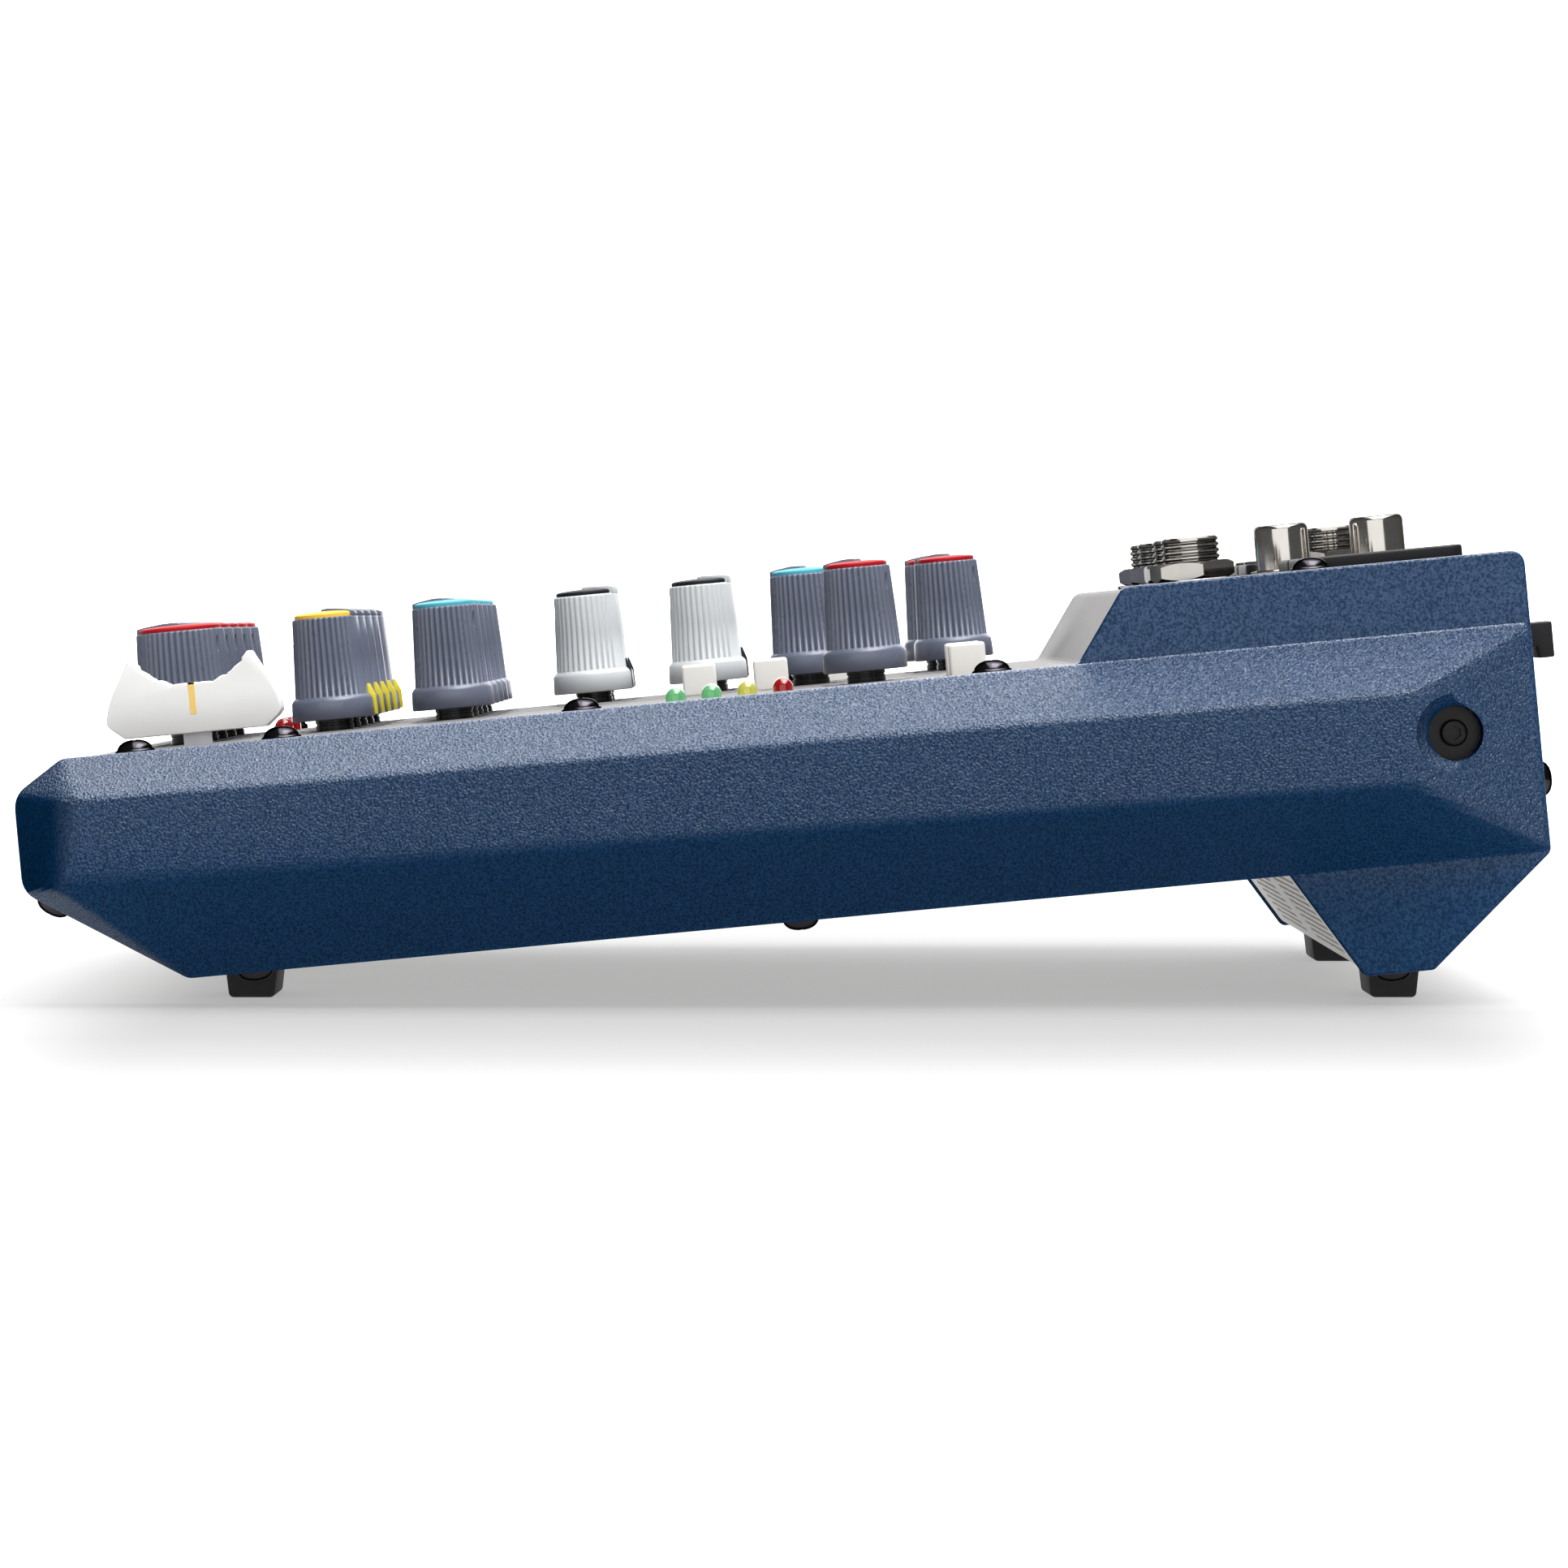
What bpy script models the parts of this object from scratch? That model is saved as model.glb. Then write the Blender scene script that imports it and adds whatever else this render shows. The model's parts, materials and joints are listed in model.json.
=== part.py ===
"""Compact desk mixing console, modelled as an assembly of separate pieces.

Metres, Z up, floor at Z = 0.  X runs across the width, the user sits at -Y.
The case is modelled square in its own frame (X, u towards the rear, w up from the
underside) and that frame is tilted so the front edge lies low.
"""
import math

import bmesh
import bpy
from mathutils import Matrix, Vector

for old in list(bpy.data.objects):
    bpy.data.objects.remove(old, do_unlink=True)

# Case, metres
TILT = math.radians(5.33)
FRAME_Z = 0.00195
BODY_DEPTH = 0.2375
HALF_WIDTH = 0.1186
PANEL_W = 0.0359
HUMP_RISE = 0.0113
HUMP_DEPTH = 0.0625
RAMP_RUN = 0.0080
FRONT_LOW_W = 0.0157
FRONT_HIGH_W = 0.0308
FRONT_CHAMFER_U = 0.0079
BASE_FRONT_U = 0.0244
LEG_ROOT_INSET = 0.0408
LEG_FRONT_INSET = 0.0306
LEG_REAR_INSET = 0.0198
LEG_DROP = 0.0167
FOLD_R = 0.0018
SHEET = 0.0012
SHEET_DROP = 0.0005
GAP = 0.0003
FIT = 0.0001
BITE = 0.0010
OVERCUT = 0.0020
MERGE = 1e-7
PICK = 1e-6
FRONT_SEAM = 0.0020
CENTRE_SHARE = 0.49638

# Cheeks and their screws
CHEEK_BULGE = 0.0106
CHEEK_PLATE = 0.0035
CHEEK_WALL = 0.0028
CHEEK_BEVEL = 0.0010
ROOT_SHARE = 0.998
HOLLOW_SHARE = 0.80
FACET_LOW_FRONT_U = 0.0060
FACET_HIGH_FRONT_U = 0.0090
FACET_HIGH_REAR_INSET = 0.0192
FACET_LOW_REAR_INSET = 0.0206
FACET_LOW_FRONT_W = 0.0163
FACET_HIGH_FRONT_W = 0.0296
FACET_HIGH_REAR_W = 0.0269
FACET_LOW_REAR_W = 0.0121
SCREW_INSET = 0.0135
SCREW_DROP = 0.0161
COUNTERBORE_R = 0.0044
SHANK_R = 0.0015
SHANK_L = 0.0075
SHANK_HOLE_R = 0.0018
HEAD_R = 0.0021
HEAD_H = 0.0024
SOCKET_R = 0.0012
SOCKET_DEPTH = 0.0014
TAB_REACH = 0.0120

# Base vents
VENTS = 10
VENT_HALF = 0.00035
VENT_INNER_SHARE = 0.115
VENT_OUTER_SHARE = 0.768

# Panel layout: strips from the left edge, other places as shares of the panel's half
# width and of its depth to the ramp
PITCH = 0.0235
STRIP_EDGE = 0.0102
STRIP_COUNT = 5
LEVEL_SHARE = 0.12275
PAN_SHARE = 0.26946
EFFECT_SEND_SHARE = 0.39102
LOW_SHARE = 0.52335
HIGH_SHARE = 0.64611
GAIN_SHARE = 0.90719
GAIN_STAGGER = 0.0014
EFFECT_RETURN_SHARES = (-0.30710, 0.75330)
PHONES_SHARES = (0.24952, 0.80659)
FILTER_SHARES = (-0.41267, 0.63772)
EFFECT_MUTE_SHARES = (-0.14395, 0.71257)
MONITOR_SHARES = (0.67179, 0.90180)
PHANTOM_SHARES = (0.43186, 0.90180)
LOW_CUT_SHARE = 0.78024
FADER_SHARE = 0.16467
FADER_INSET = 0.0242

# Knobs
KNOB_CLEAR = 0.0019
KNOB_SKIRT_R = 0.0070
KNOB_SKIRT_H = 0.0038
KNOB_BODY_R = 0.0062
KNOB_RIM_R = 0.00555
KNOB_H = 0.0172
KNOB_DOME_R = 0.0050
KNOB_DOME_H = 0.00105
KNOB_SHOULDER = 0.0007
LEVEL_SKIRT_R = 0.0089
LEVEL_BODY_R = 0.00805
LEVEL_RIM_R = 0.0074
STEM_R = 0.0032
STEM_DEPTH = 0.0072
STEM_CLEAR = 0.0005
FIN_HALF = 0.0006
FIN_PROUD = 0.0003
FIN_ANGLE = 0.7
KNOB_SIDES = 18
POINTER_LOW_ANGLE = -150.0
POINTER_MIDDLE_ANGLE = 0.0

# Push buttons
BUTTON_SIDE = 0.0059
BUTTON_RISE = 0.0052
BUTTON_TRAVEL = 0.0020
BUTTON_EDGE = 0.0005

# Fader
FADER_TRAVEL = 0.0600
FADER_CLEAR = 0.0024
FADER_CAP_X = 0.0095
FADER_CAP_HALF = 0.0139
FADER_CAP_H = 0.0116
LEVER_U = 0.0045
LEVER_X = 0.0012
LEVER_CLEAR = 0.0005
LEVER_GRIP = 0.0046
TRACK_WALL = 0.0040
TRACK_END = 0.0080
TRACK_FLOOR = 0.0012

# Boards and soldered housings
BOARD_T = 0.0016
BOARD_EDGE = 0.0040
BOARD_FRONT_U = 0.0100
POT_H = 0.0095
POT_CLEAR = 0.0004
POT_HALF = 0.0055
SWITCH_HALF = 0.0042
SOLDER = 0.0005
JACK_BODY_H = 0.0216

# Connectors on the raised field
JACK_ROW = 0.0120
JACK_REAR_INSET = 0.0225
JACK_PHONES_SHARE = 0.81574
JACK_SEND_SHARE = 0.53743
JACK_3_SHARE = -0.28791
JACK_R = 0.0046
JACK_BORE_R = 0.0033
JACK_RISE = 0.0073
JACK_FLOOR = 0.0015
JACK_NUT_R = 0.00675
JACK_NUT_H = 0.0033
JACK_HALF_X = 0.0055
JACK_HALF_U = 0.0070
THREE_PIN_INSET = 0.0213
OUTPUT_EDGE = 0.0222
INPUT_EDGE = 0.0147
THREE_PIN_STEP = 0.0270
FLANGE_X = 0.0260
FLANGE_U = 0.0260
FLANGE_H = 0.0022
FLANGE_CORNER = 0.0022
SHELL_R = 0.0105
SHELL_H = 0.0190
SHELL_FLOOR = 0.0020
OUTPUT_WELL_R = 0.0078
PIN_R = 0.0012
PIN_RING_R = 0.0035
PIN_DEPTH = 0.0040
CONTACT_R = 0.0013
CONTACT_RING_R = 0.0063
CONTACT_DEPTH = 0.0120
PHONO_SHARE = 0.23992
PHONO_FRONT_INSET = 0.0323
PHONO_REAR_INSET = 0.0165
PHONO_R = 0.0045
PHONO_RISE = 0.0083
PHONO_WALL = 0.0007
PHONO_RECESS = 0.0006
PHONO_BORE_R = 0.0016
PHONO_BORE_DEPTH = 0.0075
PHONO_HALF_X = 0.0050
PHONO_END = 0.0060

# Meter lamps
LAMP_R = 0.0016
LAMP_RISE = 0.0010
LAMP_SPREAD = 0.0040
LAMP_STEP = 0.0057
LAMP_ROWS = 4
LAMP_CLEAR = 0.0023
LAMP_EDGE = 0.0040
LAMP_DEPTH = 0.0030
LAMP_SHOULDER_SHARES = (0.8, 0.6)

# Feet
FOOT_X_SHARE = 0.66603
FOOT_WIDTH = 0.0220
FOOT_DEPTH = 0.0084
FOOT_TAPER = 0.0006
FOOT_FRONT_STEP = 0.0082
FOOT_REAR_SHIFT = 0.0011

# Rear connectors and cable hook
PORT_W = 0.0115
DC_SHARE = 0.80614
DC_HALF = 0.0055
DC_DEPTH = 0.0110
DC_NOSE_R = 0.0040
DC_BORE_R = 0.0028
DC_BORE_DEPTH = 0.0090
DC_PIN_R = 0.0010
USB_SHARE = 0.46065
USB_HALF_X = 0.0060
USB_HALF_W = 0.0055
USB_DEPTH = 0.0150
USB_WALL_X = 0.0018
USB_WALL_W = 0.0016
USB_BACK = 0.0040
TONGUE_HALF_X = 0.0028
TONGUE_HALF_W = 0.0015
HOOK_SHARE = 0.84450
HOOK_HALF = 0.0050
HOOK_W = 0.0335
HOOK_REACH = 0.0051
HOOK_ARM_LOW = 0.0018
HOOK_ARM_HIGH = 0.0021
HOOK_DROP = 0.0036
HOOK_TIP = 0.0026

# Sizes that follow from the ones above
LIP_X = HALF_WIDTH - CHEEK_BULGE
INNER_X = LIP_X - CHEEK_PLATE
SHEET_X = INNER_X - GAP
HUMP_W = PANEL_W + HUMP_RISE
RAMP_TOP_U = BODY_DEPTH - HUMP_DEPTH
RAMP_FOOT_U = RAMP_TOP_U - RAMP_RUN
PANEL_TOP = PANEL_W - SHEET_DROP
HUMP_TOP = HUMP_W - SHEET_DROP
PANEL_UNDER = PANEL_TOP - SHEET
HUMP_UNDER = HUMP_TOP - SHEET
FLANGE_TOP = HUMP_TOP + FIT + FLANGE_H
REAR_OUT = BODY_DEPTH - SHEET_DROP
REAR_IN = REAR_OUT - SHEET
POT_TOP = PANEL_UNDER - POT_CLEAR
BOARD_TOP = POT_TOP - POT_H
JACK_TOP = HUMP_UNDER - GAP
JACK_BOARD_TOP = JACK_TOP - JACK_BODY_H
SIDE_SCREW = (BODY_DEPTH - SCREW_INSET, PANEL_W - SCREW_DROP)
STRIPS = tuple(STRIP_EDGE - SHEET_X + PITCH * n for n in range(STRIP_COUNT))
FRAME_Y = -CENTRE_SHARE * BODY_DEPTH
FRAME = Matrix.Translation((0.0, FRAME_Y, FRAME_Z)) @ Matrix.Rotation(TILT, 4, "X")


def on_panel(shares):
    return (shares[0] * SHEET_X, shares[1] * RAMP_FOOT_U)


BUTTONS = (
    ("filter_button", *on_panel(FILTER_SHARES)),
    ("effect_button", *on_panel(EFFECT_MUTE_SHARES)),
    ("monitor_button", *on_panel(MONITOR_SHARES)),
    ("phantom_button", *on_panel(PHANTOM_SHARES)),
    ("low_cut_button_2", STRIPS[1], LOW_CUT_SHARE * RAMP_FOOT_U),
    ("low_cut_button_1", STRIPS[0], LOW_CUT_SHARE * RAMP_FOOT_U),
)
FADER_X = SHEET_X - FADER_INSET
FADER_U = FADER_SHARE * RAMP_FOOT_U
LAMP_XS = (FADER_X - LAMP_SPREAD, FADER_X + LAMP_SPREAD)
LAMP_FIRST_U = FADER_U + FADER_TRAVEL + FADER_CAP_HALF + LAMP_CLEAR
LAMP_US = tuple(LAMP_FIRST_U + LAMP_STEP * n for n in range(LAMP_ROWS))
JACK_FRONT_U = RAMP_TOP_U + JACK_ROW
JACK_REAR_U = BODY_DEPTH - JACK_REAR_INSET
JACKS = (
    ("jack_phones", JACK_PHONES_SHARE * SHEET_X, JACK_FRONT_U),
    ("jack_send", JACK_SEND_SHARE * SHEET_X, JACK_FRONT_U),
    ("jack_front_4", 0.0, JACK_FRONT_U),
    ("jack_front_3", JACK_3_SHARE * SHEET_X, JACK_FRONT_U),
    ("jack_rear_4", 0.0, JACK_REAR_U),
    ("jack_rear_3", JACK_3_SHARE * SHEET_X, JACK_REAR_U),
)
THREE_PIN_U = BODY_DEPTH - THREE_PIN_INSET
OUTPUTS = (
    ("output_right", SHEET_X - OUTPUT_EDGE),
    ("output_left", SHEET_X - OUTPUT_EDGE - THREE_PIN_STEP),
)
INPUTS = (
    ("input_1", INPUT_EDGE - SHEET_X),
    ("input_2", INPUT_EDGE - SHEET_X + THREE_PIN_STEP),
)
PHONO_X = PHONO_SHARE * SHEET_X
PHONO_US = (BODY_DEPTH - PHONO_FRONT_INSET, BODY_DEPTH - PHONO_REAR_INSET)
DC_X = DC_SHARE * SHEET_X
USB_X = USB_SHARE * SHEET_X
HOOK_X = HOOK_SHARE * SHEET_X


# Materials
def material(name, colour, rough, metal=0.0):
    mat = bpy.data.materials.new(name)
    mat.use_nodes = True
    shader = mat.node_tree.nodes["Principled BSDF"]
    shader.inputs["Base Color"].default_value = (*colour, 1.0)
    shader.inputs["Roughness"].default_value = rough
    shader.inputs["Metallic"].default_value = metal
    return mat


LOOKS = {
    "cheek": ((0.012, 0.033, 0.095), 0.55, 0.0),
    "panel": ((0.42, 0.42, 0.43), 0.40, 0.3),
    "pan": ((0.55, 0.55, 0.56), 0.40, 0.4),
    "knob": ((0.085, 0.095, 0.115), 0.45, 0.0),
    "knob_pale": ((0.60, 0.64, 0.66), 0.40, 0.0),
    "button": ((0.80, 0.80, 0.78), 0.40, 0.0),
    "fader": ((0.82, 0.82, 0.82), 0.35, 0.0),
    "steel": ((0.60, 0.60, 0.60), 0.30, 1.0),
    "chrome": ((0.75, 0.75, 0.75), 0.15, 1.0),
    "black": ((0.012, 0.012, 0.013), 0.50, 0.0),
    "rubber": ((0.010, 0.010, 0.010), 0.85, 0.0),
    "board": ((0.02, 0.10, 0.04), 0.60, 0.0),
    "lamp": ((0.35, 0.35, 0.33), 0.30, 0.0),
}

CONSOLE = bpy.data.collections.new("mixing_console")
bpy.context.scene.collection.children.link(CONSOLE)
CUTTERS = bpy.data.collections.new("cutters")
bpy.context.scene.collection.children.link(CUTTERS)


# Shape helpers, all in the case frame
def place(name, bm, origin, look, world=False):
    bmesh.ops.remove_doubles(bm, verts=bm.verts, dist=MERGE)
    bmesh.ops.recalc_face_normals(bm, faces=bm.faces)
    bmesh.ops.translate(bm, verts=bm.verts, vec=-Vector(origin))
    mesh = bpy.data.meshes.new(name)
    bm.to_mesh(mesh)
    bm.free()
    obj = bpy.data.objects.new(name, mesh)
    CONSOLE.objects.link(obj)
    shift = Matrix.Translation(origin)
    obj.matrix_world = shift if world else FRAME @ shift
    mesh.materials.append(material(name + "_finish", *LOOKS[look]))
    return obj


def prism(points, axis, low, high, bm=None):
    """Closed outline in the two axes left over, carried along one axis."""
    bm = bm or bmesh.new()
    verts = []
    for a, b in points:
        co = {"x": (low, a, b), "y": (a, low, b), "z": (a, b, low)}[axis]
        verts.append(bm.verts.new(co))
    face = bm.faces.new(verts)
    step = {"x": (high - low, 0, 0), "y": (0, high - low, 0), "z": (0, 0, high - low)}
    out = bmesh.ops.extrude_face_region(bm, geom=[face])
    top = [v for v in out["geom"] if isinstance(v, bmesh.types.BMVert)]
    bmesh.ops.translate(bm, verts=top, vec=step[axis])
    bmesh.ops.recalc_face_normals(bm, faces=bm.faces)
    return bm


def block(low, high, bm=None):
    bm = bm or bmesh.new()
    low, high = Vector(low), Vector(high)
    size = Matrix.Diagonal((*(high - low), 1.0))
    bmesh.ops.create_cube(bm, size=1.0, matrix=Matrix.Translation((low + high) / 2) @ size)
    return bm


def rod(centre, radius, low, high, sides, bm=None, axis="z"):
    """Round bar along one axis, at a place given in the other two."""
    bm = bm or bmesh.new()
    a, b = centre
    mid = (low + high) / 2
    spot = {"x": (mid, a, b), "y": (a, mid, b), "z": (a, b, mid)}[axis]
    aim = {
        "x": Matrix.Rotation(math.radians(90), 4, "Y"),
        "y": Matrix.Rotation(math.radians(90), 4, "X"),
        "z": Matrix.Identity(4),
    }[axis]
    bmesh.ops.create_cone(
        bm, cap_ends=True, segments=sides, radius1=radius, radius2=radius,
        depth=abs(high - low), matrix=Matrix.Translation(spot) @ aim,
    )
    return bm


def lathe(profile, sides, centre=(0.0, 0.0, 0.0), bm=None):
    bm = bm or bmesh.new()
    first = [bm.verts.new((centre[0] + r, centre[1], centre[2] + z)) for r, z in profile]
    edges = [bm.edges.new(p) for p in zip(first[:-1], first[1:])]
    bmesh.ops.spin(
        bm, geom=first + edges, cent=centre, axis=(0, 0, 1), dvec=(0, 0, 0),
        angle=2.0 * math.pi, steps=sides, use_merge=True,
    )
    bmesh.ops.remove_doubles(bm, verts=bm.verts, dist=MERGE)
    bmesh.ops.recalc_face_normals(bm, faces=bm.faces)
    return bm


def combine(target, tool_bm, operation):
    """Exact boolean of one object with a tool mesh given in the case frame."""
    tool_mesh = bpy.data.meshes.new("tool")
    tool_bm.to_mesh(tool_mesh)
    tool_bm.free()
    tool = bpy.data.objects.new("tool", tool_mesh)
    CUTTERS.objects.link(tool)
    tool.hide_render = True
    tool.display_type = "WIRE"
    tool.matrix_world = FRAME
    mod = target.modifiers.new(operation.lower(), "BOOLEAN")
    mod.operation = operation
    mod.solver = "EXACT"
    mod.object = tool
    bpy.context.view_layer.update()
    graph = bpy.context.evaluated_depsgraph_get()
    done = bpy.data.meshes.new_from_object(target.evaluated_get(graph))
    target.modifiers.clear()
    before = target.data
    target.data = done
    bpy.data.meshes.remove(before)
    bpy.data.objects.remove(tool, do_unlink=True)
    bpy.data.meshes.remove(tool_mesh)
    return target


def left_normal(a, b):
    d = (Vector(b) - Vector(a)).normalized()
    return Vector((-d.y, d.x))


def offset(points, distance):
    """Open outline moved sideways, to the left of its direction when positive."""
    pts = [Vector(p) for p in points]
    out = []
    for i, p in enumerate(pts):
        if i == 0:
            out.append(p + left_normal(p, pts[1]) * distance)
        elif i == len(pts) - 1:
            out.append(p + left_normal(pts[i - 1], p) * distance)
        else:
            n0 = left_normal(pts[i - 1], p)
            n1 = left_normal(p, pts[i + 1])
            mid = (n0 + n1).normalized()
            out.append(p + mid * (distance / mid.dot(n0)))
    return [tuple(p) for p in out]


def rounded(points, radius, steps):
    """Open outline with each inner corner replaced by a short arc."""
    pts = [Vector(p) for p in points]
    out = [tuple(pts[0])]
    for i in range(1, len(pts) - 1):
        a = (pts[i - 1] - pts[i]).normalized()
        b = (pts[i + 1] - pts[i]).normalized()
        half = a.angle(b) / 2.0
        reach = radius / math.tan(half)
        start = pts[i] + a * reach
        centre = pts[i] + (a + b).normalized() * (radius / math.sin(half))
        spread = math.pi - 2.0 * half
        turn = 1.0 if a.x * b.y - a.y * b.x < 0 else -1.0
        arm = start - centre
        for k in range(steps + 1):
            t = turn * spread * k / steps
            c, s = math.cos(t), math.sin(t)
            out.append((centre.x + arm.x * c - arm.y * s, centre.y + arm.x * s + arm.y * c))
    out.append(tuple(pts[-1]))
    return out


def sheet(points, thickness):
    """Folded sheet as wide as the panel, thickened to one side of an open outline."""
    line = rounded(points, FOLD_R, 3)
    return prism(line + offset(line, thickness)[::-1], "x", -SHEET_X, SHEET_X)


# Outline of the case, seen from the side
FRONT_LOW = (0.0, FRONT_LOW_W)
FRONT_HIGH = (0.0, FRONT_HIGH_W)
CHAMFER_TOP = (FRONT_CHAMFER_U, PANEL_W)
RAMP_FOOT = (RAMP_FOOT_U, PANEL_W)
RAMP_TOP = (RAMP_TOP_U, HUMP_W)
HUMP_REAR = (BODY_DEPTH, HUMP_W)
REAR_LOW = (BODY_DEPTH, 0.0)
LEG_REAR = (BODY_DEPTH - LEG_REAR_INSET, -LEG_DROP)
LEG_FRONT = (BODY_DEPTH - LEG_FRONT_INSET, -LEG_DROP)
LEG_ROOT = (BODY_DEPTH - LEG_ROOT_INSET, 0.0)
BASE_FRONT = (BASE_FRONT_U, 0.0)
OUTLINE = (
    FRONT_LOW, FRONT_HIGH, CHAMFER_TOP, RAMP_FOOT, RAMP_TOP, HUMP_REAR,
    REAR_LOW, LEG_REAR, LEG_FRONT, LEG_ROOT, BASE_FRONT,
)
ROOT = (FRONT_LOW, FRONT_HIGH, CHAMFER_TOP, (BODY_DEPTH, PANEL_W), REAR_LOW, BASE_FRONT)
FACET = (
    (FACET_LOW_FRONT_U, FACET_LOW_FRONT_W), (FACET_HIGH_FRONT_U, FACET_HIGH_FRONT_W),
    (BODY_DEPTH - FACET_HIGH_REAR_INSET, FACET_HIGH_REAR_W),
    (BODY_DEPTH - FACET_LOW_REAR_INSET, FACET_LOW_REAR_W),
)

# Knob places: name, x, u, size, finish, pointer angle clockwise from the rear
KNOBS = []
for n, x in enumerate(STRIPS, 1):
    level_u, pan_u = LEVEL_SHARE * RAMP_FOOT_U, PAN_SHARE * RAMP_FOOT_U
    send_u = EFFECT_SEND_SHARE * RAMP_FOOT_U
    KNOBS.append(("level_knob_%d" % n, x, level_u, "level", "knob", POINTER_LOW_ANGLE))
    KNOBS.append(("pan_knob_%d" % n, x, pan_u, "plain", "knob", POINTER_MIDDLE_ANGLE))
    KNOBS.append(("effect_send_knob_%d" % n, x, send_u, "plain", "knob", POINTER_LOW_ANGLE))
for n, x in enumerate(STRIPS[:2], 1):
    gain_u = GAIN_SHARE * RAMP_FOOT_U - GAIN_STAGGER * (2 - n)
    low_u, high_u = LOW_SHARE * RAMP_FOOT_U, HIGH_SHARE * RAMP_FOOT_U
    KNOBS.append(("low_knob_%d" % n, x, low_u, "plain", "knob_pale", POINTER_MIDDLE_ANGLE))
    KNOBS.append(("high_knob_%d" % n, x, high_u, "plain", "knob_pale", POINTER_MIDDLE_ANGLE))
    KNOBS.append(("gain_knob_%d" % n, x, gain_u, "plain", "knob", POINTER_LOW_ANGLE))
KNOBS.append(("effect_return_knob", *on_panel(EFFECT_RETURN_SHARES), "plain", "knob", POINTER_LOW_ANGLE))
KNOBS.append(("phones_knob", *on_panel(PHONES_SHARES), "plain", "knob", POINTER_LOW_ANGLE))

# Top panel, one folded sheet with every hole cut through
top_line = offset(
    (
        (0.0, FRONT_LOW_W + SHEET), FRONT_HIGH, CHAMFER_TOP,
        RAMP_FOOT, RAMP_TOP, (BODY_DEPTH - GAP, HUMP_W),
    ), -SHEET_DROP,
)
top_panel = place("top_panel", sheet(top_line, -SHEET), (0, 0, 0), "panel")
low, high = PANEL_UNDER - OVERCUT, PANEL_TOP + OVERCUT
holes = bmesh.new()
for name, x, u, size, look, turn in KNOBS:
    rod((x, u), STEM_R + STEM_CLEAR, low, high, 10, holes)
for name, x, u in BUTTONS:
    half = BUTTON_SIDE / 2 + GAP
    block((x - half, u - half, low), (x + half, u + half, high), holes)
slot_x = LEVER_X / 2 + LEVER_CLEAR
slot_low = FADER_U - LEVER_U / 2 - LEVER_CLEAR
slot_high = FADER_U + FADER_TRAVEL + LEVER_U / 2 + LEVER_CLEAR
block((FADER_X - slot_x, slot_low, low), (FADER_X + slot_x, slot_high, high), holes)
for x in LAMP_XS:
    for u in LAMP_US:
        rod((x, u), LAMP_R + GAP, low, high, 8, holes)
low, high = HUMP_UNDER - OVERCUT, HUMP_TOP + OVERCUT
for name, x, u in JACKS:
    rod((x, u), JACK_R + GAP, low, high, 12, holes)
for name, x in OUTPUTS + INPUTS:
    rod((x, THREE_PIN_U), SHELL_R + GAP, low, high, 20, holes)
for u in PHONO_US:
    rod((PHONO_X, u), PHONO_R + GAP, low, high, 12, holes)
combine(top_panel, holes, "DIFFERENCE")

# Base pan, one folded sheet with a vented leg
base_slope = Vector(BASE_FRONT) - Vector(FRONT_LOW)
base_start = Vector(FRONT_LOW) + base_slope.normalized() * FRONT_SEAM
base_line = offset(
    (tuple(base_start), BASE_FRONT, LEG_ROOT, LEG_FRONT, LEG_REAR, REAR_LOW), SHEET_DROP,
)
base_pan = place("base_pan", sheet(base_line, SHEET), (0, 0, 0), "pan")
slots = bmesh.new()
slope = Vector(LEG_FRONT) - Vector(LEG_ROOT)
along = slope.normalized()
out = Vector((along.y, -along.x))
for i in range(VENTS):
    mid = Vector(LEG_ROOT) + slope * ((i + 2.0) / (VENTS + 3.0))
    quad = []
    for s, t in ((-1, -1), (1, -1), (1, 1), (-1, 1)):
        p = mid + along * (s * VENT_HALF) + out * (t * (SHEET + OVERCUT))
        quad.append((p.x, p.y))
    for side in (-SHEET_X, SHEET_X):
        prism(quad, "x", side * VENT_INNER_SHARE, side * VENT_OUTER_SHARE, slots)
combine(base_pan, slots, "DIFFERENCE")

# Rear panel, a channel whose side tabs take the cheek screws
tab_u = SIDE_SCREW[0] - TAB_REACH
channel = (
    (-SHEET_X, REAR_OUT), (SHEET_X, REAR_OUT), (SHEET_X, tab_u), (SHEET_X - SHEET, tab_u),
    (SHEET_X - SHEET, REAR_IN), (SHEET - SHEET_X, REAR_IN), (SHEET - SHEET_X, tab_u),
    (-SHEET_X, tab_u),
)
rear_low = SHEET_DROP + SHEET + SHEET_DROP
rear_panel = place("rear_panel", prism(channel, "z", rear_low, JACK_TOP), (0, 0, 0), "panel")
ports = bmesh.new()
low, high = REAR_IN - OVERCUT, REAR_OUT + OVERCUT
rod((DC_X, PORT_W), DC_NOSE_R + GAP, low, high, 16, ports, "y")
half_x, half_w = USB_HALF_X + GAP, USB_HALF_W + GAP
block((USB_X - half_x, low, PORT_W - half_w), (USB_X + half_x, high, PORT_W + half_w), ports)
rod(SIDE_SCREW, SHANK_HOLE_R, -SHEET_X - OVERCUT, SHEET_X + OVERCUT, 12, ports, "x")
combine(rear_panel, ports, "DIFFERENCE")


# Cheeks, hollow mouldings with a sloping outer face
def flip(obj):
    bm = bmesh.new()
    bm.from_mesh(obj.data)
    bmesh.ops.scale(bm, verts=bm.verts, vec=(-1, 1, 1))
    bmesh.ops.recalc_face_normals(bm, faces=bm.faces)
    bm.to_mesh(obj.data)
    bm.free()


def shrunk(points, share):
    """Points drawn in towards the middle of the cheek."""
    middle = Vector((BODY_DEPTH / 2, PANEL_W / 2))
    return [middle.lerp(Vector(p), share) for p in points]


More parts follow.
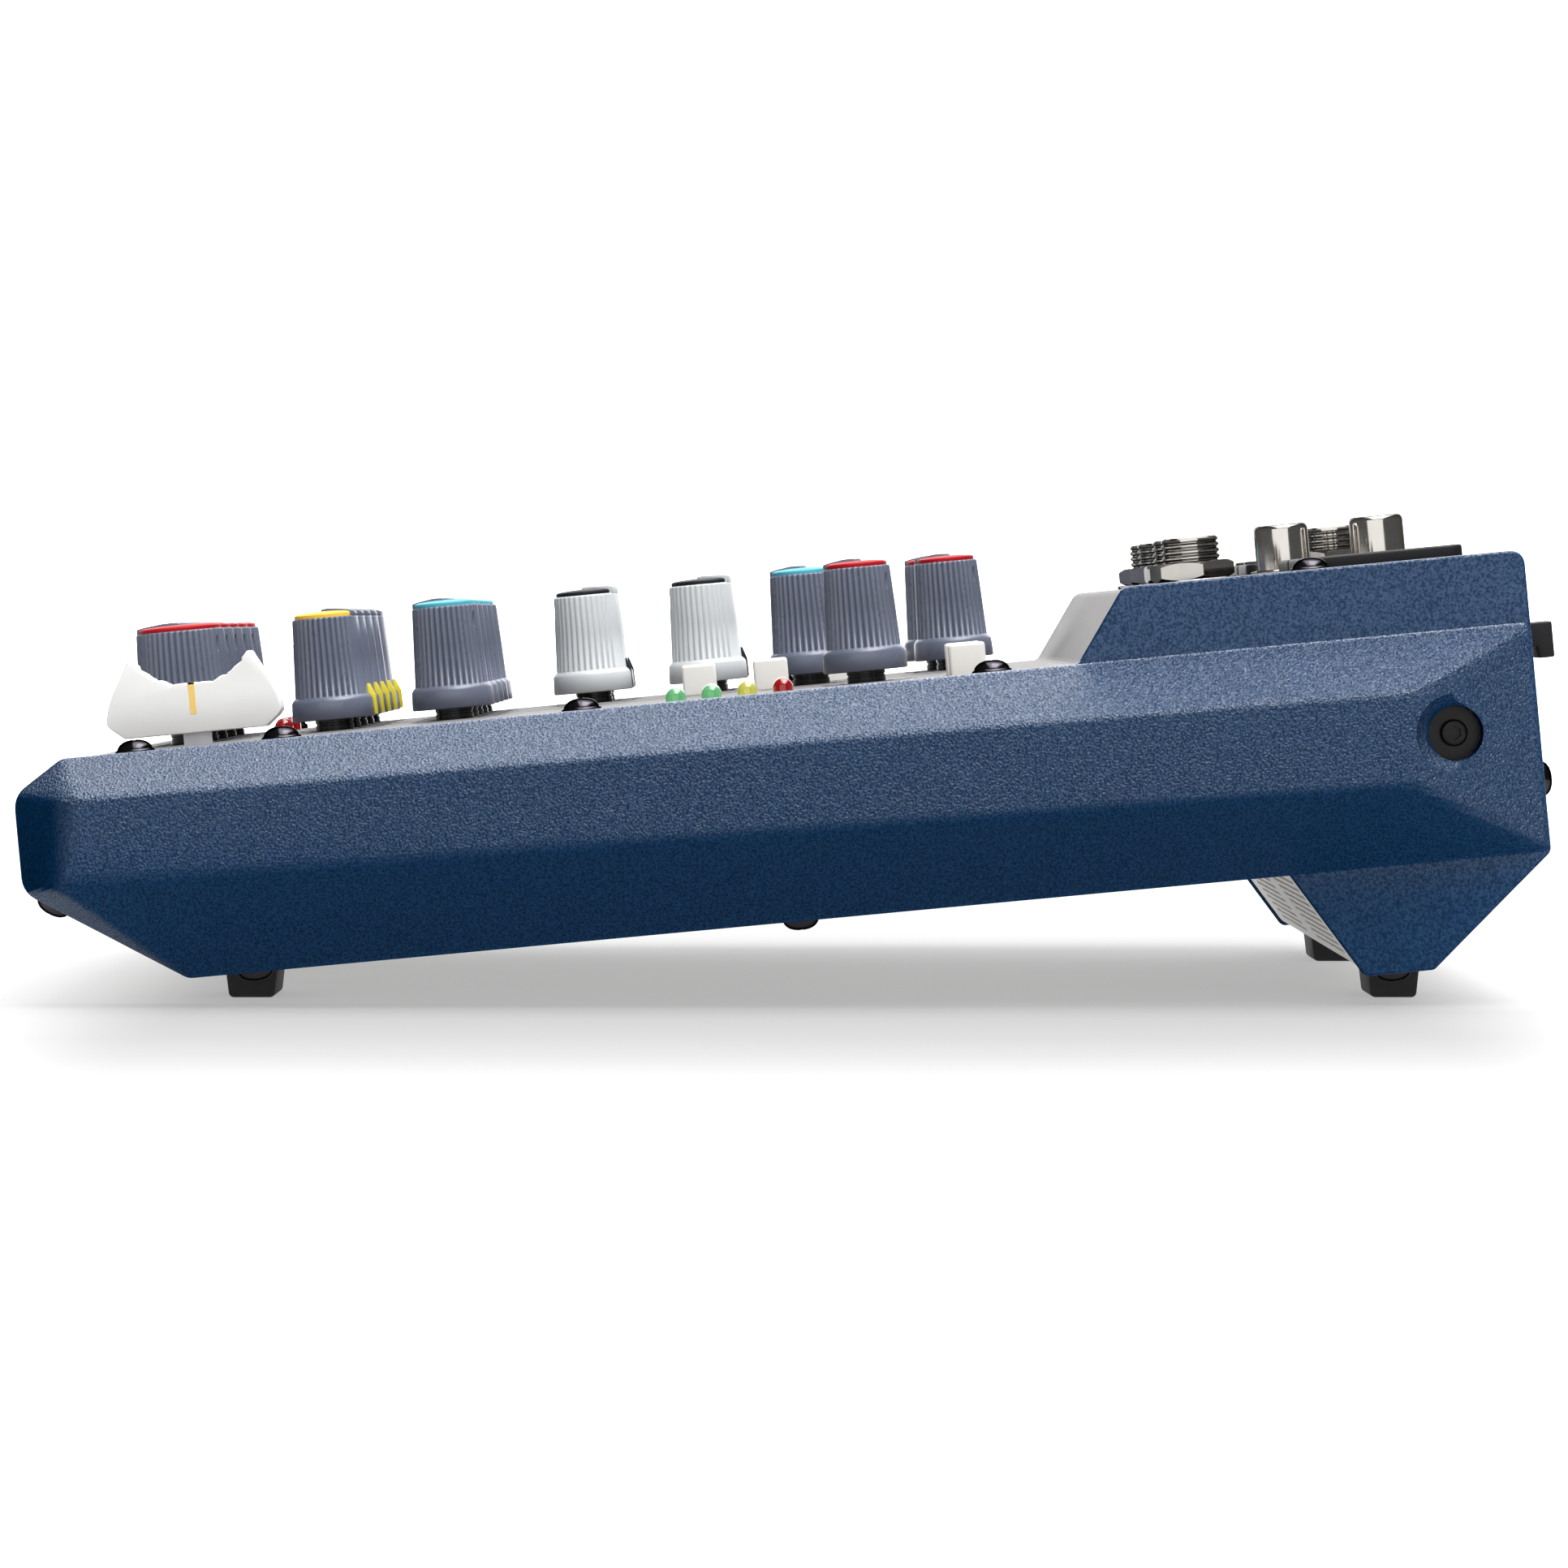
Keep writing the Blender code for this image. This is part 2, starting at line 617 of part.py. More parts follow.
def cheek(name):
    obj = place(name, prism(OUTLINE, "x", INNER_X, LIP_X), (0, 0, 0), "cheek")
    bulge = bmesh.new()
    for u, w in shrunk(ROOT, ROOT_SHARE):
        bulge.verts.new((LIP_X - BITE, u, w))
        bulge.verts.new((LIP_X, u, w))
    for u, w in FACET:
        bulge.verts.new((HALF_WIDTH, u, w))
    bmesh.ops.convex_hull(bulge, input=bulge.verts)
    bmesh.ops.dissolve_limit(bulge, angle_limit=0.001, verts=bulge.verts, edges=bulge.edges)
    soft = [e for e in bulge.edges if min(v.co.x for v in e.verts) > HALF_WIDTH - PICK]
    bmesh.ops.bevel(
        bulge, geom=soft, offset=CHEEK_BEVEL, segments=2, profile=0.5, affect="EDGES",
    )
    combine(obj, bulge, "UNION")
    hollow = bmesh.new()
    for u, w in shrunk(ROOT, HOLLOW_SHARE):
        hollow.verts.new((INNER_X - BITE, u, w))
    for u, w in shrunk(FACET, HOLLOW_SHARE):
        hollow.verts.new((HALF_WIDTH - CHEEK_WALL, u, w))
    bmesh.ops.convex_hull(hollow, input=hollow.verts)
    combine(obj, hollow, "DIFFERENCE")
    bore = rod(SIDE_SCREW, COUNTERBORE_R, LIP_X - BITE, HALF_WIDTH + OVERCUT, 20, None, "x")
    combine(obj, bore, "DIFFERENCE")
    bore = rod(SIDE_SCREW, SHANK_HOLE_R, INNER_X - OVERCUT, LIP_X, 12, None, "x")
    combine(obj, bore, "DIFFERENCE")
    return obj


cheek("right_cheek")
flip(cheek("left_cheek"))


# Cheek screws, socket heads deep in the counterbores
def side_screw(name):
    top = SHANK_L + HEAD_H
    profile = (
        (0.0, 0.0), (SHANK_R, 0.0), (SHANK_R, SHANK_L), (HEAD_R, SHANK_L), (HEAD_R, top),
        (SOCKET_R, top), (SOCKET_R, top - SOCKET_DEPTH), (0.0, top - SOCKET_DEPTH),
    )
    bm = lathe(profile, 12)
    bmesh.ops.rotate(bm, verts=bm.verts, matrix=Matrix.Rotation(math.radians(90), 3, "Y"))
    seat = LIP_X - BITE + GAP
    bmesh.ops.translate(bm, verts=bm.verts, vec=(seat - SHANK_L, *SIDE_SCREW))
    return place(name, bm, (0, 0, 0), "black")


side_screw("right_cheek_screw")
flip(side_screw("left_cheek_screw"))


# Feet, flat on the floor and cut to the slope of the base
def foot(name, x, mid, floor_w):
    front, rear = mid - FOOT_DEPTH / 2, mid + FOOT_DEPTH / 2
    tops = []
    for y in (rear, front):
        rise = (floor_w + (y - FRAME_Y) * math.sin(TILT)) / math.cos(TILT)
        tops.append((y, FRAME_Z + rise))
    outline = ((front + FOOT_TAPER, 0.0), (rear - FOOT_TAPER, 0.0), *tops)
    bm = prism(outline, "x", x - FOOT_WIDTH / 2, x + FOOT_WIDTH / 2)
    place(name, bm, (x, mid, 0.0), "rubber", True)


foot_x = FOOT_X_SHARE * SHEET_X
front_w = SHEET_DROP - GAP
rear_w = front_w - LEG_DROP
leg_mid = (LEG_FRONT[0] + LEG_REAR[0]) / 2 + FOOT_REAR_SHIFT
front_y = (FRAME @ Vector((0.0, BASE_FRONT_U + FOOT_FRONT_STEP, front_w))).y
rear_y = (FRAME @ Vector((0.0, leg_mid, rear_w))).y
foot("foot_front_right", foot_x, front_y, front_w)
foot("foot_front_left", -foot_x, front_y, front_w)
foot("foot_rear_right", foot_x, rear_y, rear_w)
foot("foot_rear_left", -foot_x, rear_y, rear_w)

# Main board with its soldered potentiometer and switch housings
board_x = SHEET_X - BOARD_EDGE
main_board = place(
    "main_board",
    block(
        (-board_x, BOARD_FRONT_U, BOARD_TOP - BOARD_T),
        (board_x, RAMP_FOOT_U - BOARD_EDGE, BOARD_TOP),
    ),
    (0, 0, 0), "board",
)
housings = bmesh.new()
root = BOARD_TOP - SOLDER
for name, x, u, size, look, turn in KNOBS:
    block((x - POT_HALF, u - POT_HALF, root), (x + POT_HALF, u + POT_HALF, POT_TOP), housings)
switch_top = PANEL_TOP - STEM_DEPTH - BUTTON_TRAVEL - GAP
for name, x, u in BUTTONS:
    half = SWITCH_HALF
    block((x - half, u - half, root), (x + half, u + half, switch_top), housings)
combine(main_board, housings, "UNION")
bores = bmesh.new()
for name, x, u, size, look, turn in KNOBS:
    rod((x, u), STEM_R + STEM_CLEAR, PANEL_TOP - STEM_DEPTH - GAP, POT_TOP + OVERCUT, 8, bores)
combine(main_board, bores, "DIFFERENCE")

# Jack board under the connector field
place(
    "jack_board",
    block(
        (-board_x, RAMP_TOP_U + BOARD_EDGE, JACK_BOARD_TOP - BOARD_T),
        (board_x, REAR_IN - BOARD_EDGE, JACK_BOARD_TOP),
    ),
    (0, 0, 0), "board",
)


# Knobs, each with its stem and a raised pointer
def knob(name, x, u, size, look, turn):
    skirt, body, rim = KNOB_SKIRT_R, KNOB_BODY_R, KNOB_RIM_R
    if size == "level":
        skirt, body, rim = LEVEL_SKIRT_R, LEVEL_BODY_R, LEVEL_RIM_R
    dome = KNOB_DOME_R + rim - KNOB_RIM_R
    low = KNOB_CLEAR
    top = low + KNOB_H
    shoulder = low + KNOB_SKIRT_H
    profile = (
        (0.0, -STEM_DEPTH), (STEM_R, -STEM_DEPTH), (STEM_R, low), (skirt, low),
        (skirt, shoulder - KNOB_SHOULDER), (body, shoulder), (rim, top), (dome, top),
        (0.0, top + KNOB_DOME_H),
    )
    bm = lathe(profile, KNOB_SIDES, (x, u, PANEL_TOP))
    obj = place(name, bm, (x, u, PANEL_TOP), look)
    tip = rim - FIN_PROUD
    fin = prism(
        ((-FIN_HALF, 0.0), (FIN_HALF, 0.0), (FIN_HALF, tip), (-FIN_HALF, tip)),
        "z", PANEL_TOP + top - BITE, PANEL_TOP + top + KNOB_DOME_H + FIN_PROUD,
    )
    aim = Matrix.Rotation(math.radians(-turn - FIN_ANGLE), 3, "Z")
    bmesh.ops.rotate(fin, verts=fin.verts, matrix=aim)
    bmesh.ops.translate(fin, verts=fin.verts, vec=(x, u, 0.0))
    combine(obj, fin, "UNION")


for entry in KNOBS:
    knob(*entry)

# Push buttons
for name, x, u in BUTTONS:
    half = BUTTON_SIDE / 2
    top = PANEL_TOP + BUTTON_RISE
    bm = block((x - half, u - half, PANEL_TOP - STEM_DEPTH), (x + half, u + half, top))
    rim = [e for e in bm.edges if min(v.co.z for v in e.verts) > top - PICK]
    bmesh.ops.bevel(bm, geom=rim, offset=BUTTON_EDGE, segments=2, profile=0.5, affect="EDGES")
    place(name, bm, (x, u, PANEL_TOP), "button")

# Fader: channel under the panel, lever and cap
track_x = slot_x + TRACK_WALL
fader_track = place(
    "fader_track",
    block(
        (FADER_X - track_x, slot_low - TRACK_END, BOARD_TOP + GAP),
        (FADER_X + track_x, slot_high + TRACK_END, POT_TOP),
    ),
    (0, 0, 0), "steel",
)
groove_low = BOARD_TOP + GAP + TRACK_FLOOR
groove = block(
    (FADER_X - slot_x, slot_low, groove_low), (FADER_X + slot_x, slot_high, POT_TOP + OVERCUT),
)
combine(fader_track, groove, "DIFFERENCE")
cap_base = PANEL_TOP + FADER_CLEAR
lever_top = cap_base + LEVER_GRIP
place(
    "fader_lever",
    block(
        (FADER_X - LEVER_X / 2, FADER_U - LEVER_U / 2, groove_low + LEVER_CLEAR),
        (FADER_X + LEVER_X / 2, FADER_U + LEVER_U / 2, lever_top),
    ),
    (FADER_X, FADER_U, PANEL_TOP), "steel",
)
CAP_HALF_SHARES = (
    (0.790, 0.0), (1.0, 0.233), (0.957, 0.474), (0.878, 0.707), (0.784, 0.897), (0.676, 1.0),
    (0.605, 0.945), (0.590, 0.892), (0.540, 0.880), (0.455, 0.800), (0.410, 0.748),
    (0.365, 0.752), (0.268, 0.698), (0.228, 0.664), (0.0, 0.684),
)
cap_shares = list(CAP_HALF_SHARES) + [(-a, b) for a, b in CAP_HALF_SHARES[-2::-1]]
cap_line = [(FADER_U + a * FADER_CAP_HALF, cap_base + b * FADER_CAP_H) for a, b in cap_shares]
cap_bm = prism(cap_line, "x", FADER_X - FADER_CAP_X / 2, FADER_X + FADER_CAP_X / 2)
fader_cap = place("fader_cap", cap_bm, (FADER_X, FADER_U, PANEL_TOP), "fader")
half_x, half_u = LEVER_X / 2 + FIT, LEVER_U / 2 + FIT
pocket = block(
    (FADER_X - half_x, FADER_U - half_u, cap_base - OVERCUT),
    (FADER_X + half_x, FADER_U + half_u, lever_top + FIT),
)
combine(fader_cap, pocket, "DIFFERENCE")

# Jack sockets: boxed body, threaded nose with its nut and a deep bore
for name, x, u in JACKS:
    body_low = JACK_BOARD_TOP + GAP
    tip = HUMP_TOP + JACK_RISE
    obj = place(
        name,
        block(
            (x - JACK_HALF_X, u - JACK_HALF_U, body_low),
            (x + JACK_HALF_X, u + JACK_HALF_U, JACK_TOP),
        ),
        (x, u, HUMP_TOP), "chrome",
    )
    combine(obj, rod((x, u), JACK_R, JACK_TOP - BITE, tip, 20), "UNION")
    nut = rod((x, u), JACK_NUT_R, HUMP_TOP + GAP, HUMP_TOP + GAP + JACK_NUT_H, 6)
    combine(obj, nut, "UNION")
    bore = rod((x, u), JACK_BORE_R, body_low + JACK_FLOOR, tip + OVERCUT, 16)
    combine(obj, bore, "DIFFERENCE")


# Three-pin connectors with a square flange over a round body
def flanged(name, x):
    low = HUMP_TOP + FIT
    u = THREE_PIN_U
    bm = block(
        (x - FLANGE_X / 2, u - FLANGE_U / 2, low), (x + FLANGE_X / 2, u + FLANGE_U / 2, FLANGE_TOP),
    )
    corners = [e for e in bm.edges if abs(e.verts[0].co.z - e.verts[1].co.z) > PICK]
    bmesh.ops.bevel(
        bm, geom=corners, offset=FLANGE_CORNER, segments=3, profile=0.5, affect="EDGES",
    )
    obj = place(name, bm, (x, u, HUMP_TOP), "black")
    combine(obj, rod((x, u), SHELL_R, HUMP_TOP - SHELL_H, low + BITE, 20), "UNION")
    return obj


shell_floor = HUMP_TOP - SHELL_H + SHELL_FLOOR
for name, x in OUTPUTS:
    obj = flanged(name, x)
    well = rod((x, THREE_PIN_U), OUTPUT_WELL_R, shell_floor, FLANGE_TOP + OVERCUT, 20)
    combine(obj, well, "DIFFERENCE")
    pins = bmesh.new()
    for dx, du in ((-PIN_RING_R, 0.0), (PIN_RING_R, 0.0), (0.0, -PIN_RING_R)):
        spot = (x + dx, THREE_PIN_U + du)
        rod(spot, PIN_R, shell_floor - BITE, HUMP_TOP - PIN_DEPTH, 8, pins)
    combine(obj, pins, "UNION")
for name, x in INPUTS:
    obj = flanged(name, x)
    wells = rod((x, THREE_PIN_U), JACK_BORE_R, shell_floor, FLANGE_TOP + OVERCUT, 16)
    for dx, du in ((-CONTACT_RING_R, 0.0), (CONTACT_RING_R, 0.0), (0.0, -CONTACT_RING_R)):
        spot = (x + dx, THREE_PIN_U + du)
        rod(spot, CONTACT_R, HUMP_TOP - CONTACT_DEPTH, FLANGE_TOP + OVERCUT, 8, wells)
    combine(obj, wells, "DIFFERENCE")

# Phono pair on one moulded block
phono = place(
    "phono_pair",
    block(
        (PHONO_X - PHONO_HALF_X, PHONO_US[0] - PHONO_END, JACK_BOARD_TOP + GAP),
        (PHONO_X + PHONO_HALF_X, PHONO_US[1] + PHONO_END, JACK_TOP),
    ),
    (PHONO_X, sum(PHONO_US) / 2, HUMP_TOP), "chrome",
)
shells = bmesh.new()
wells = bmesh.new()
well_r = PHONO_R - PHONO_WALL
tip = HUMP_TOP + PHONO_RISE
for u in PHONO_US:
    rod((PHONO_X, u), PHONO_R, JACK_TOP - BITE, tip, 20, shells)
    lathe(
        (
            (0.0, BITE), (well_r, BITE), (well_r, -PHONO_RECESS), (PHONO_BORE_R, -PHONO_RECESS),
            (PHONO_BORE_R, -PHONO_BORE_DEPTH), (0.0, -PHONO_BORE_DEPTH),
        ),
        20, (PHONO_X, u, tip), wells,
    )
combine(phono, shells, "UNION")
combine(phono, wells, "DIFFERENCE")

# Level meter lamps standing on one strip
strip_top = PANEL_UNDER - LAMP_DEPTH
meter = place(
    "meter_lamps",
    block(
        (LAMP_XS[0] - LAMP_EDGE, LAMP_US[0] - LAMP_EDGE, strip_top - BOARD_T),
        (LAMP_XS[1] + LAMP_EDGE, LAMP_US[-1] + LAMP_EDGE, strip_top),
    ),
    (FADER_X, (LAMP_US[0] + LAMP_US[-1]) / 2, PANEL_TOP), "lamp",
)
lamps = bmesh.new()
lamp_root = strip_top - SOLDER - PANEL_TOP
lamp_line = (
    (0.0, lamp_root), (LAMP_R, lamp_root), (LAMP_R, LAMP_RISE),
    (LAMP_SHOULDER_SHARES[0] * LAMP_R, LAMP_RISE + LAMP_SHOULDER_SHARES[1] * LAMP_R),
    (0.0, LAMP_RISE + LAMP_R),
)
for x in LAMP_XS:
    for u in LAMP_US:
        lathe(lamp_line, 8, (x, u, PANEL_TOP), lamps)
combine(meter, lamps, "UNION")

# Direct-current inlet
spot = (DC_X, PORT_W)
dc_back = REAR_IN - GAP - DC_DEPTH
dc = place(
    "dc_inlet",
    block(
        (DC_X - DC_HALF, dc_back, PORT_W - DC_HALF),
        (DC_X + DC_HALF, REAR_IN - GAP, PORT_W + DC_HALF),
    ),
    (DC_X, REAR_OUT, PORT_W), "black",
)
combine(dc, rod(spot, DC_NOSE_R, REAR_IN - BITE, REAR_OUT + GAP, 16, None, "y"), "UNION")
bore_end = REAR_IN - DC_BORE_DEPTH
combine(dc, rod(spot, DC_BORE_R, bore_end, REAR_OUT + OVERCUT, 16, None, "y"), "DIFFERENCE")
combine(dc, rod(spot, DC_PIN_R, bore_end - BITE, REAR_IN, 8, None, "y"), "UNION")

# USB socket with its tongue
usb_back = REAR_IN - USB_DEPTH
usb = place(
    "usb_socket",
    block(
        (USB_X - USB_HALF_X, usb_back, PORT_W - USB_HALF_W),
        (USB_X + USB_HALF_X, REAR_OUT + GAP, PORT_W + USB_HALF_W),
    ),
    (USB_X, REAR_OUT, PORT_W), "steel",
)
half_x, half_w = USB_HALF_X - USB_WALL_X, USB_HALF_W - USB_WALL_W
mouth = block(
    (USB_X - half_x, usb_back + USB_BACK, PORT_W - half_w),
    (USB_X + half_x, REAR_OUT + OVERCUT, PORT_W + half_w),
)
combine(usb, mouth, "DIFFERENCE")
tongue = block(
    (USB_X - TONGUE_HALF_X, usb_back + USB_BACK - BITE, PORT_W - TONGUE_HALF_W),
    (USB_X + TONGUE_HALF_X, REAR_IN - BITE, PORT_W + TONGUE_HALF_W),
)
combine(usb, tongue, "UNION")

# Cable hook on the rear panel
root_u = REAR_OUT + FIT
tip_u = root_u + HOOK_REACH
hook_line = (
    (root_u, HOOK_W - HOOK_ARM_LOW), (root_u, HOOK_W + HOOK_ARM_HIGH),
    (tip_u, HOOK_W + HOOK_ARM_HIGH), (tip_u, HOOK_W - HOOK_DROP),
    (tip_u - HOOK_TIP, HOOK_W - HOOK_DROP), (tip_u - HOOK_TIP, HOOK_W - HOOK_ARM_LOW),
)
hook = prism(hook_line, "x", HOOK_X - HOOK_HALF, HOOK_X + HOOK_HALF)
place("cable_hook", hook, (HOOK_X, root_u, HOOK_W), "black")

# Round pieces shade smooth, edges stay crisp
for obj in CONSOLE.objects:
    obj.data.shade_smooth()
    obj.data.set_sharp_from_angle(angle=math.radians(35))
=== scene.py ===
"""Looks of the desk mixing console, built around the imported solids."""
import json
import math

import bmesh
import bpy
from mathutils import Matrix, Vector


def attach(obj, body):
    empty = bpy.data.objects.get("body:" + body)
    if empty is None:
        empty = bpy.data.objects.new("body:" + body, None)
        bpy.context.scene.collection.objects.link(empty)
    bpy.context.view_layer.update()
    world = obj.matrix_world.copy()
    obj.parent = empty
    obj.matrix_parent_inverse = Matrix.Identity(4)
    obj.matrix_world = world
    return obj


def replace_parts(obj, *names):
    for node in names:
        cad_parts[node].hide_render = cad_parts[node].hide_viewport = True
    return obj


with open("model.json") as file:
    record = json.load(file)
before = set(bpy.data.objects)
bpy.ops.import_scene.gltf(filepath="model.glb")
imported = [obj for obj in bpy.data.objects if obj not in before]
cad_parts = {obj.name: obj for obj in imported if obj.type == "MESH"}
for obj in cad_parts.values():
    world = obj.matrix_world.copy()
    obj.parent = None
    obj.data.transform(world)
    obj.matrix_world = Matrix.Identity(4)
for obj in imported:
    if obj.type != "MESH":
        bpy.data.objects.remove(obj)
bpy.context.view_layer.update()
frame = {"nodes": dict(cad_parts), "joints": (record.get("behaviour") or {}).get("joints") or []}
MM = 0.001
CONSOLE = "console"

# Case frame: X across, u towards the rear, w square to the panel
joint_of = {j["child"]: j for j in frame["joints"]}
down = Vector(joint_of["phones_knob"]["axis"])
TILT = math.atan2(down.y, -down.z)
turned = Matrix.Rotation(TILT, 4, "X")
LEG_DROP = 16.7 * MM


def span(node, into):
    """Lowest and highest corner of a CAD node in another frame."""
    inverse = into.inverted()
    points = [inverse @ v.co for v in frame["nodes"][node].data.vertices]
    low = Vector(min(p[i] for p in points) for i in range(3))
    high = Vector(max(p[i] for p in points) for i in range(3))
    return low, high


cheek_low, cheek_high = span("right_cheek", turned)
CASE = turned @ Matrix.Translation((0.0, cheek_low.y, cheek_low.z + LEG_DROP))


def case_span(node):
    return span(node, CASE)


def case_centre(node):
    low, high = case_span(node)
    return (low + high) / 2


# Sizes read from the frame, in the case frame
HALF_WIDTH = cheek_high.x
INNER_X = cheek_low.x
BODY_DEPTH = cheek_high.y - cheek_low.y
HUMP_W = cheek_high.z - cheek_low.z - LEG_DROP
HUMP_TOP = case_span("top_panel")[1].z
PANEL_TOP = (CASE.inverted() @ Vector(joint_of["phones_knob"]["pos_m"])).z
LIP_RISE = HUMP_W - HUMP_TOP
PANEL_W = PANEL_TOP + LIP_RISE
CHEEK_BULGE = 10.6 * MM
LIP_X = HALF_WIDTH - CHEEK_BULGE


# Colours
def srgb(red, green, blue):
    def linear(value):
        value /= 255.0
        return value / 12.92 if value <= 0.04045 else ((value + 0.055) / 1.055) ** 2.4
    return (linear(red), linear(green), linear(blue))


def scaled(colour, share):
    return tuple(min(1.0, c * share) for c in colour)


# Materials. Ranges are of a direction's part along an axis, or of a height or place in metres
# painted shade on upward metal faces: range of a face's upward part
UPWARD_SHADE = (0.25, 0.75)
CHEEK_FRONT_SHADE = ((-0.85, -0.15), (0.55, 1.0))  # painted shade: base colour darker on faces towards the front end
CHEEK_PAINTED_SHEEN = ((-0.35, 0.55), (0.07, 0.95))  # painted sheen: gloss set by face direction, from downward to upward faces
CHEEK_ENDS = (-0.7, -0.25)  # painted shade: no gloss on the front end
CHEEK_FLOOR_SHADE = (14.0 * MM, 30.0 * MM)  # painted shade: less gloss near the floor
CHEEK_UPRIGHT = ((-0.25, -0.1), (1.0, 0.35))  # how much of it is left there
CHEEK_GLINT = ((0.38, 0.62), (0.5, 1.55))  # gloss of single specks
GRAIN_EDGE = (LIP_X + 0.05 * MM, LIP_X + 0.5 * MM)
GRAIN_DEPTH = (0.12, 0.75)


class Surface:
    """A Principled material with helpers that drive its sockets from noise."""

    def __init__(self, name, metal=0.0, coat=0.0):
        self.mat = bpy.data.materials.new(name)
        self.mat.use_nodes = True
        self.tree = self.mat.node_tree
        self.shader = self.tree.nodes["Principled BSDF"]
        self.shader.inputs["Metallic"].default_value = metal
        self.shader.inputs["Coat Weight"].default_value = coat
        self.coord = self.tree.nodes.new("ShaderNodeTexCoord").outputs["Object"]

    def node(self, kind, **values):
        made = self.tree.nodes.new(kind)
        for key, value in values.items():
            if key in made.inputs:
                made.inputs[key].default_value = value
            else:
                setattr(made, key, value)
        return made

    def link(self, a, b):
        self.tree.links.new(a, b)

    def noise(self, scale, detail=4.0):
        tex = self.node("ShaderNodeTexNoise", Scale=scale, Detail=detail)
        self.link(self.coord, tex.inputs["Vector"])
        return tex.outputs["Fac"]

    def axes(self, vector):
        """X, Y and Z of a vector, by name."""
        parted = self.node("ShaderNodeSeparateXYZ")
        self.link(vector, parted.inputs["Vector"])
        return parted.outputs

    def mapped(self, value, given, wanted=(0.0, 1.0), kind="LINEAR"):
        """Map Range node that takes one span to another."""
        made = self.node("ShaderNodeMapRange", interpolation_type=kind)
        for end, from_value, to_value in zip(("Min", "Max"), given, wanted):
            made.inputs["From " + end].default_value = from_value
            made.inputs["To " + end].default_value = to_value
        self.link(value, made.inputs["Value"])
        return made

    def math(self, operation, *values):
        made = self.node("ShaderNodeMath", operation=operation)
        for value, socket in zip(values, made.inputs):
            self.link(value, socket)
        return made.outputs["Value"]

    def colour(self, fac, low, high, spread=(0.3, 0.7)):
        ramp = self.node("ShaderNodeValToRGB")
        ramp.color_ramp.elements[0].color = (*low, 1.0)
        ramp.color_ramp.elements[1].color = (*high, 1.0)
        ramp.color_ramp.elements[0].position = spread[0]
        ramp.color_ramp.elements[1].position = spread[1]
        self.link(fac, ramp.inputs["Fac"])
        self.link(ramp.outputs["Color"], self.shader.inputs["Base Color"])

    def rough(self, fac, low, high):
        share = self.mapped(fac, (0.0, 1.0), (low, high))
        self.link(share.outputs["Result"], self.shader.inputs["Roughness"])

    def paint_shade(self, axis, given, wanted):
        """Paints shade into the base colour: darker by how far a face looks along an axis."""
        facing = self.axes(self.node("ShaderNodeNewGeometry").outputs["Normal"])
        share = self.mapped(facing[axis], given, wanted)
        base = self.shader.inputs["Base Color"]
        dimmed = self.node("ShaderNodeVectorMath", operation="SCALE")
        self.link(base.links[0].from_socket, dimmed.inputs[0])
        self.link(share.outputs["Result"], dimmed.inputs["Scale"])
        self.link(dimmed.outputs["Vector"], base)

    def bump(self, height, strength, distance):
        made = self.node("ShaderNodeBump", Strength=strength, Distance=distance)
        self.link(height, made.inputs["Height"])
        self.link(made.outputs["Normal"], self.shader.inputs["Normal"])
        return made


def plastic(name, colour, rough, tone, grain=0.15, grain_scale=2200.0, shine=0.5):
    s = Surface(name)
    s.shader.inputs["Specular IOR Level"].default_value = shine
    s.colour(s.noise(90.0), scaled(colour, 1.0 - tone), scaled(colour, 1.0 + tone))
    s.rough(s.noise(260.0), rough - 0.06, rough + 0.08)
    s.bump(s.noise(grain_scale, 2.0), grain, 0.05 * MM)
    return s.mat


def metal(name, colour, rough, tone, edge=1.0, top=1.0):
    """Plated metal, its grazing reflection toned down where asked, and painted shade on its upward
    faces where asked.
    """
    s = Surface(name, metal=1.0)
    s.shader.inputs["Specular Tint"].default_value = (edge, edge, edge, 1.0)
    s.colour(s.noise(120.0), scaled(colour, 1.0 - tone), scaled(colour, 1.0 + tone))
    # painted shade: base colour darker on upward faces
    if top < 1.0:
        s.paint_shade("Z", UPWARD_SHADE, (1.0, top))
    s.rough(s.noise(700.0, 3.0), max(0.04, rough - 0.06), rough + 0.08)
    s.bump(s.noise(700.0, 3.0), 0.05, 0.03 * MM)
    return s.mat


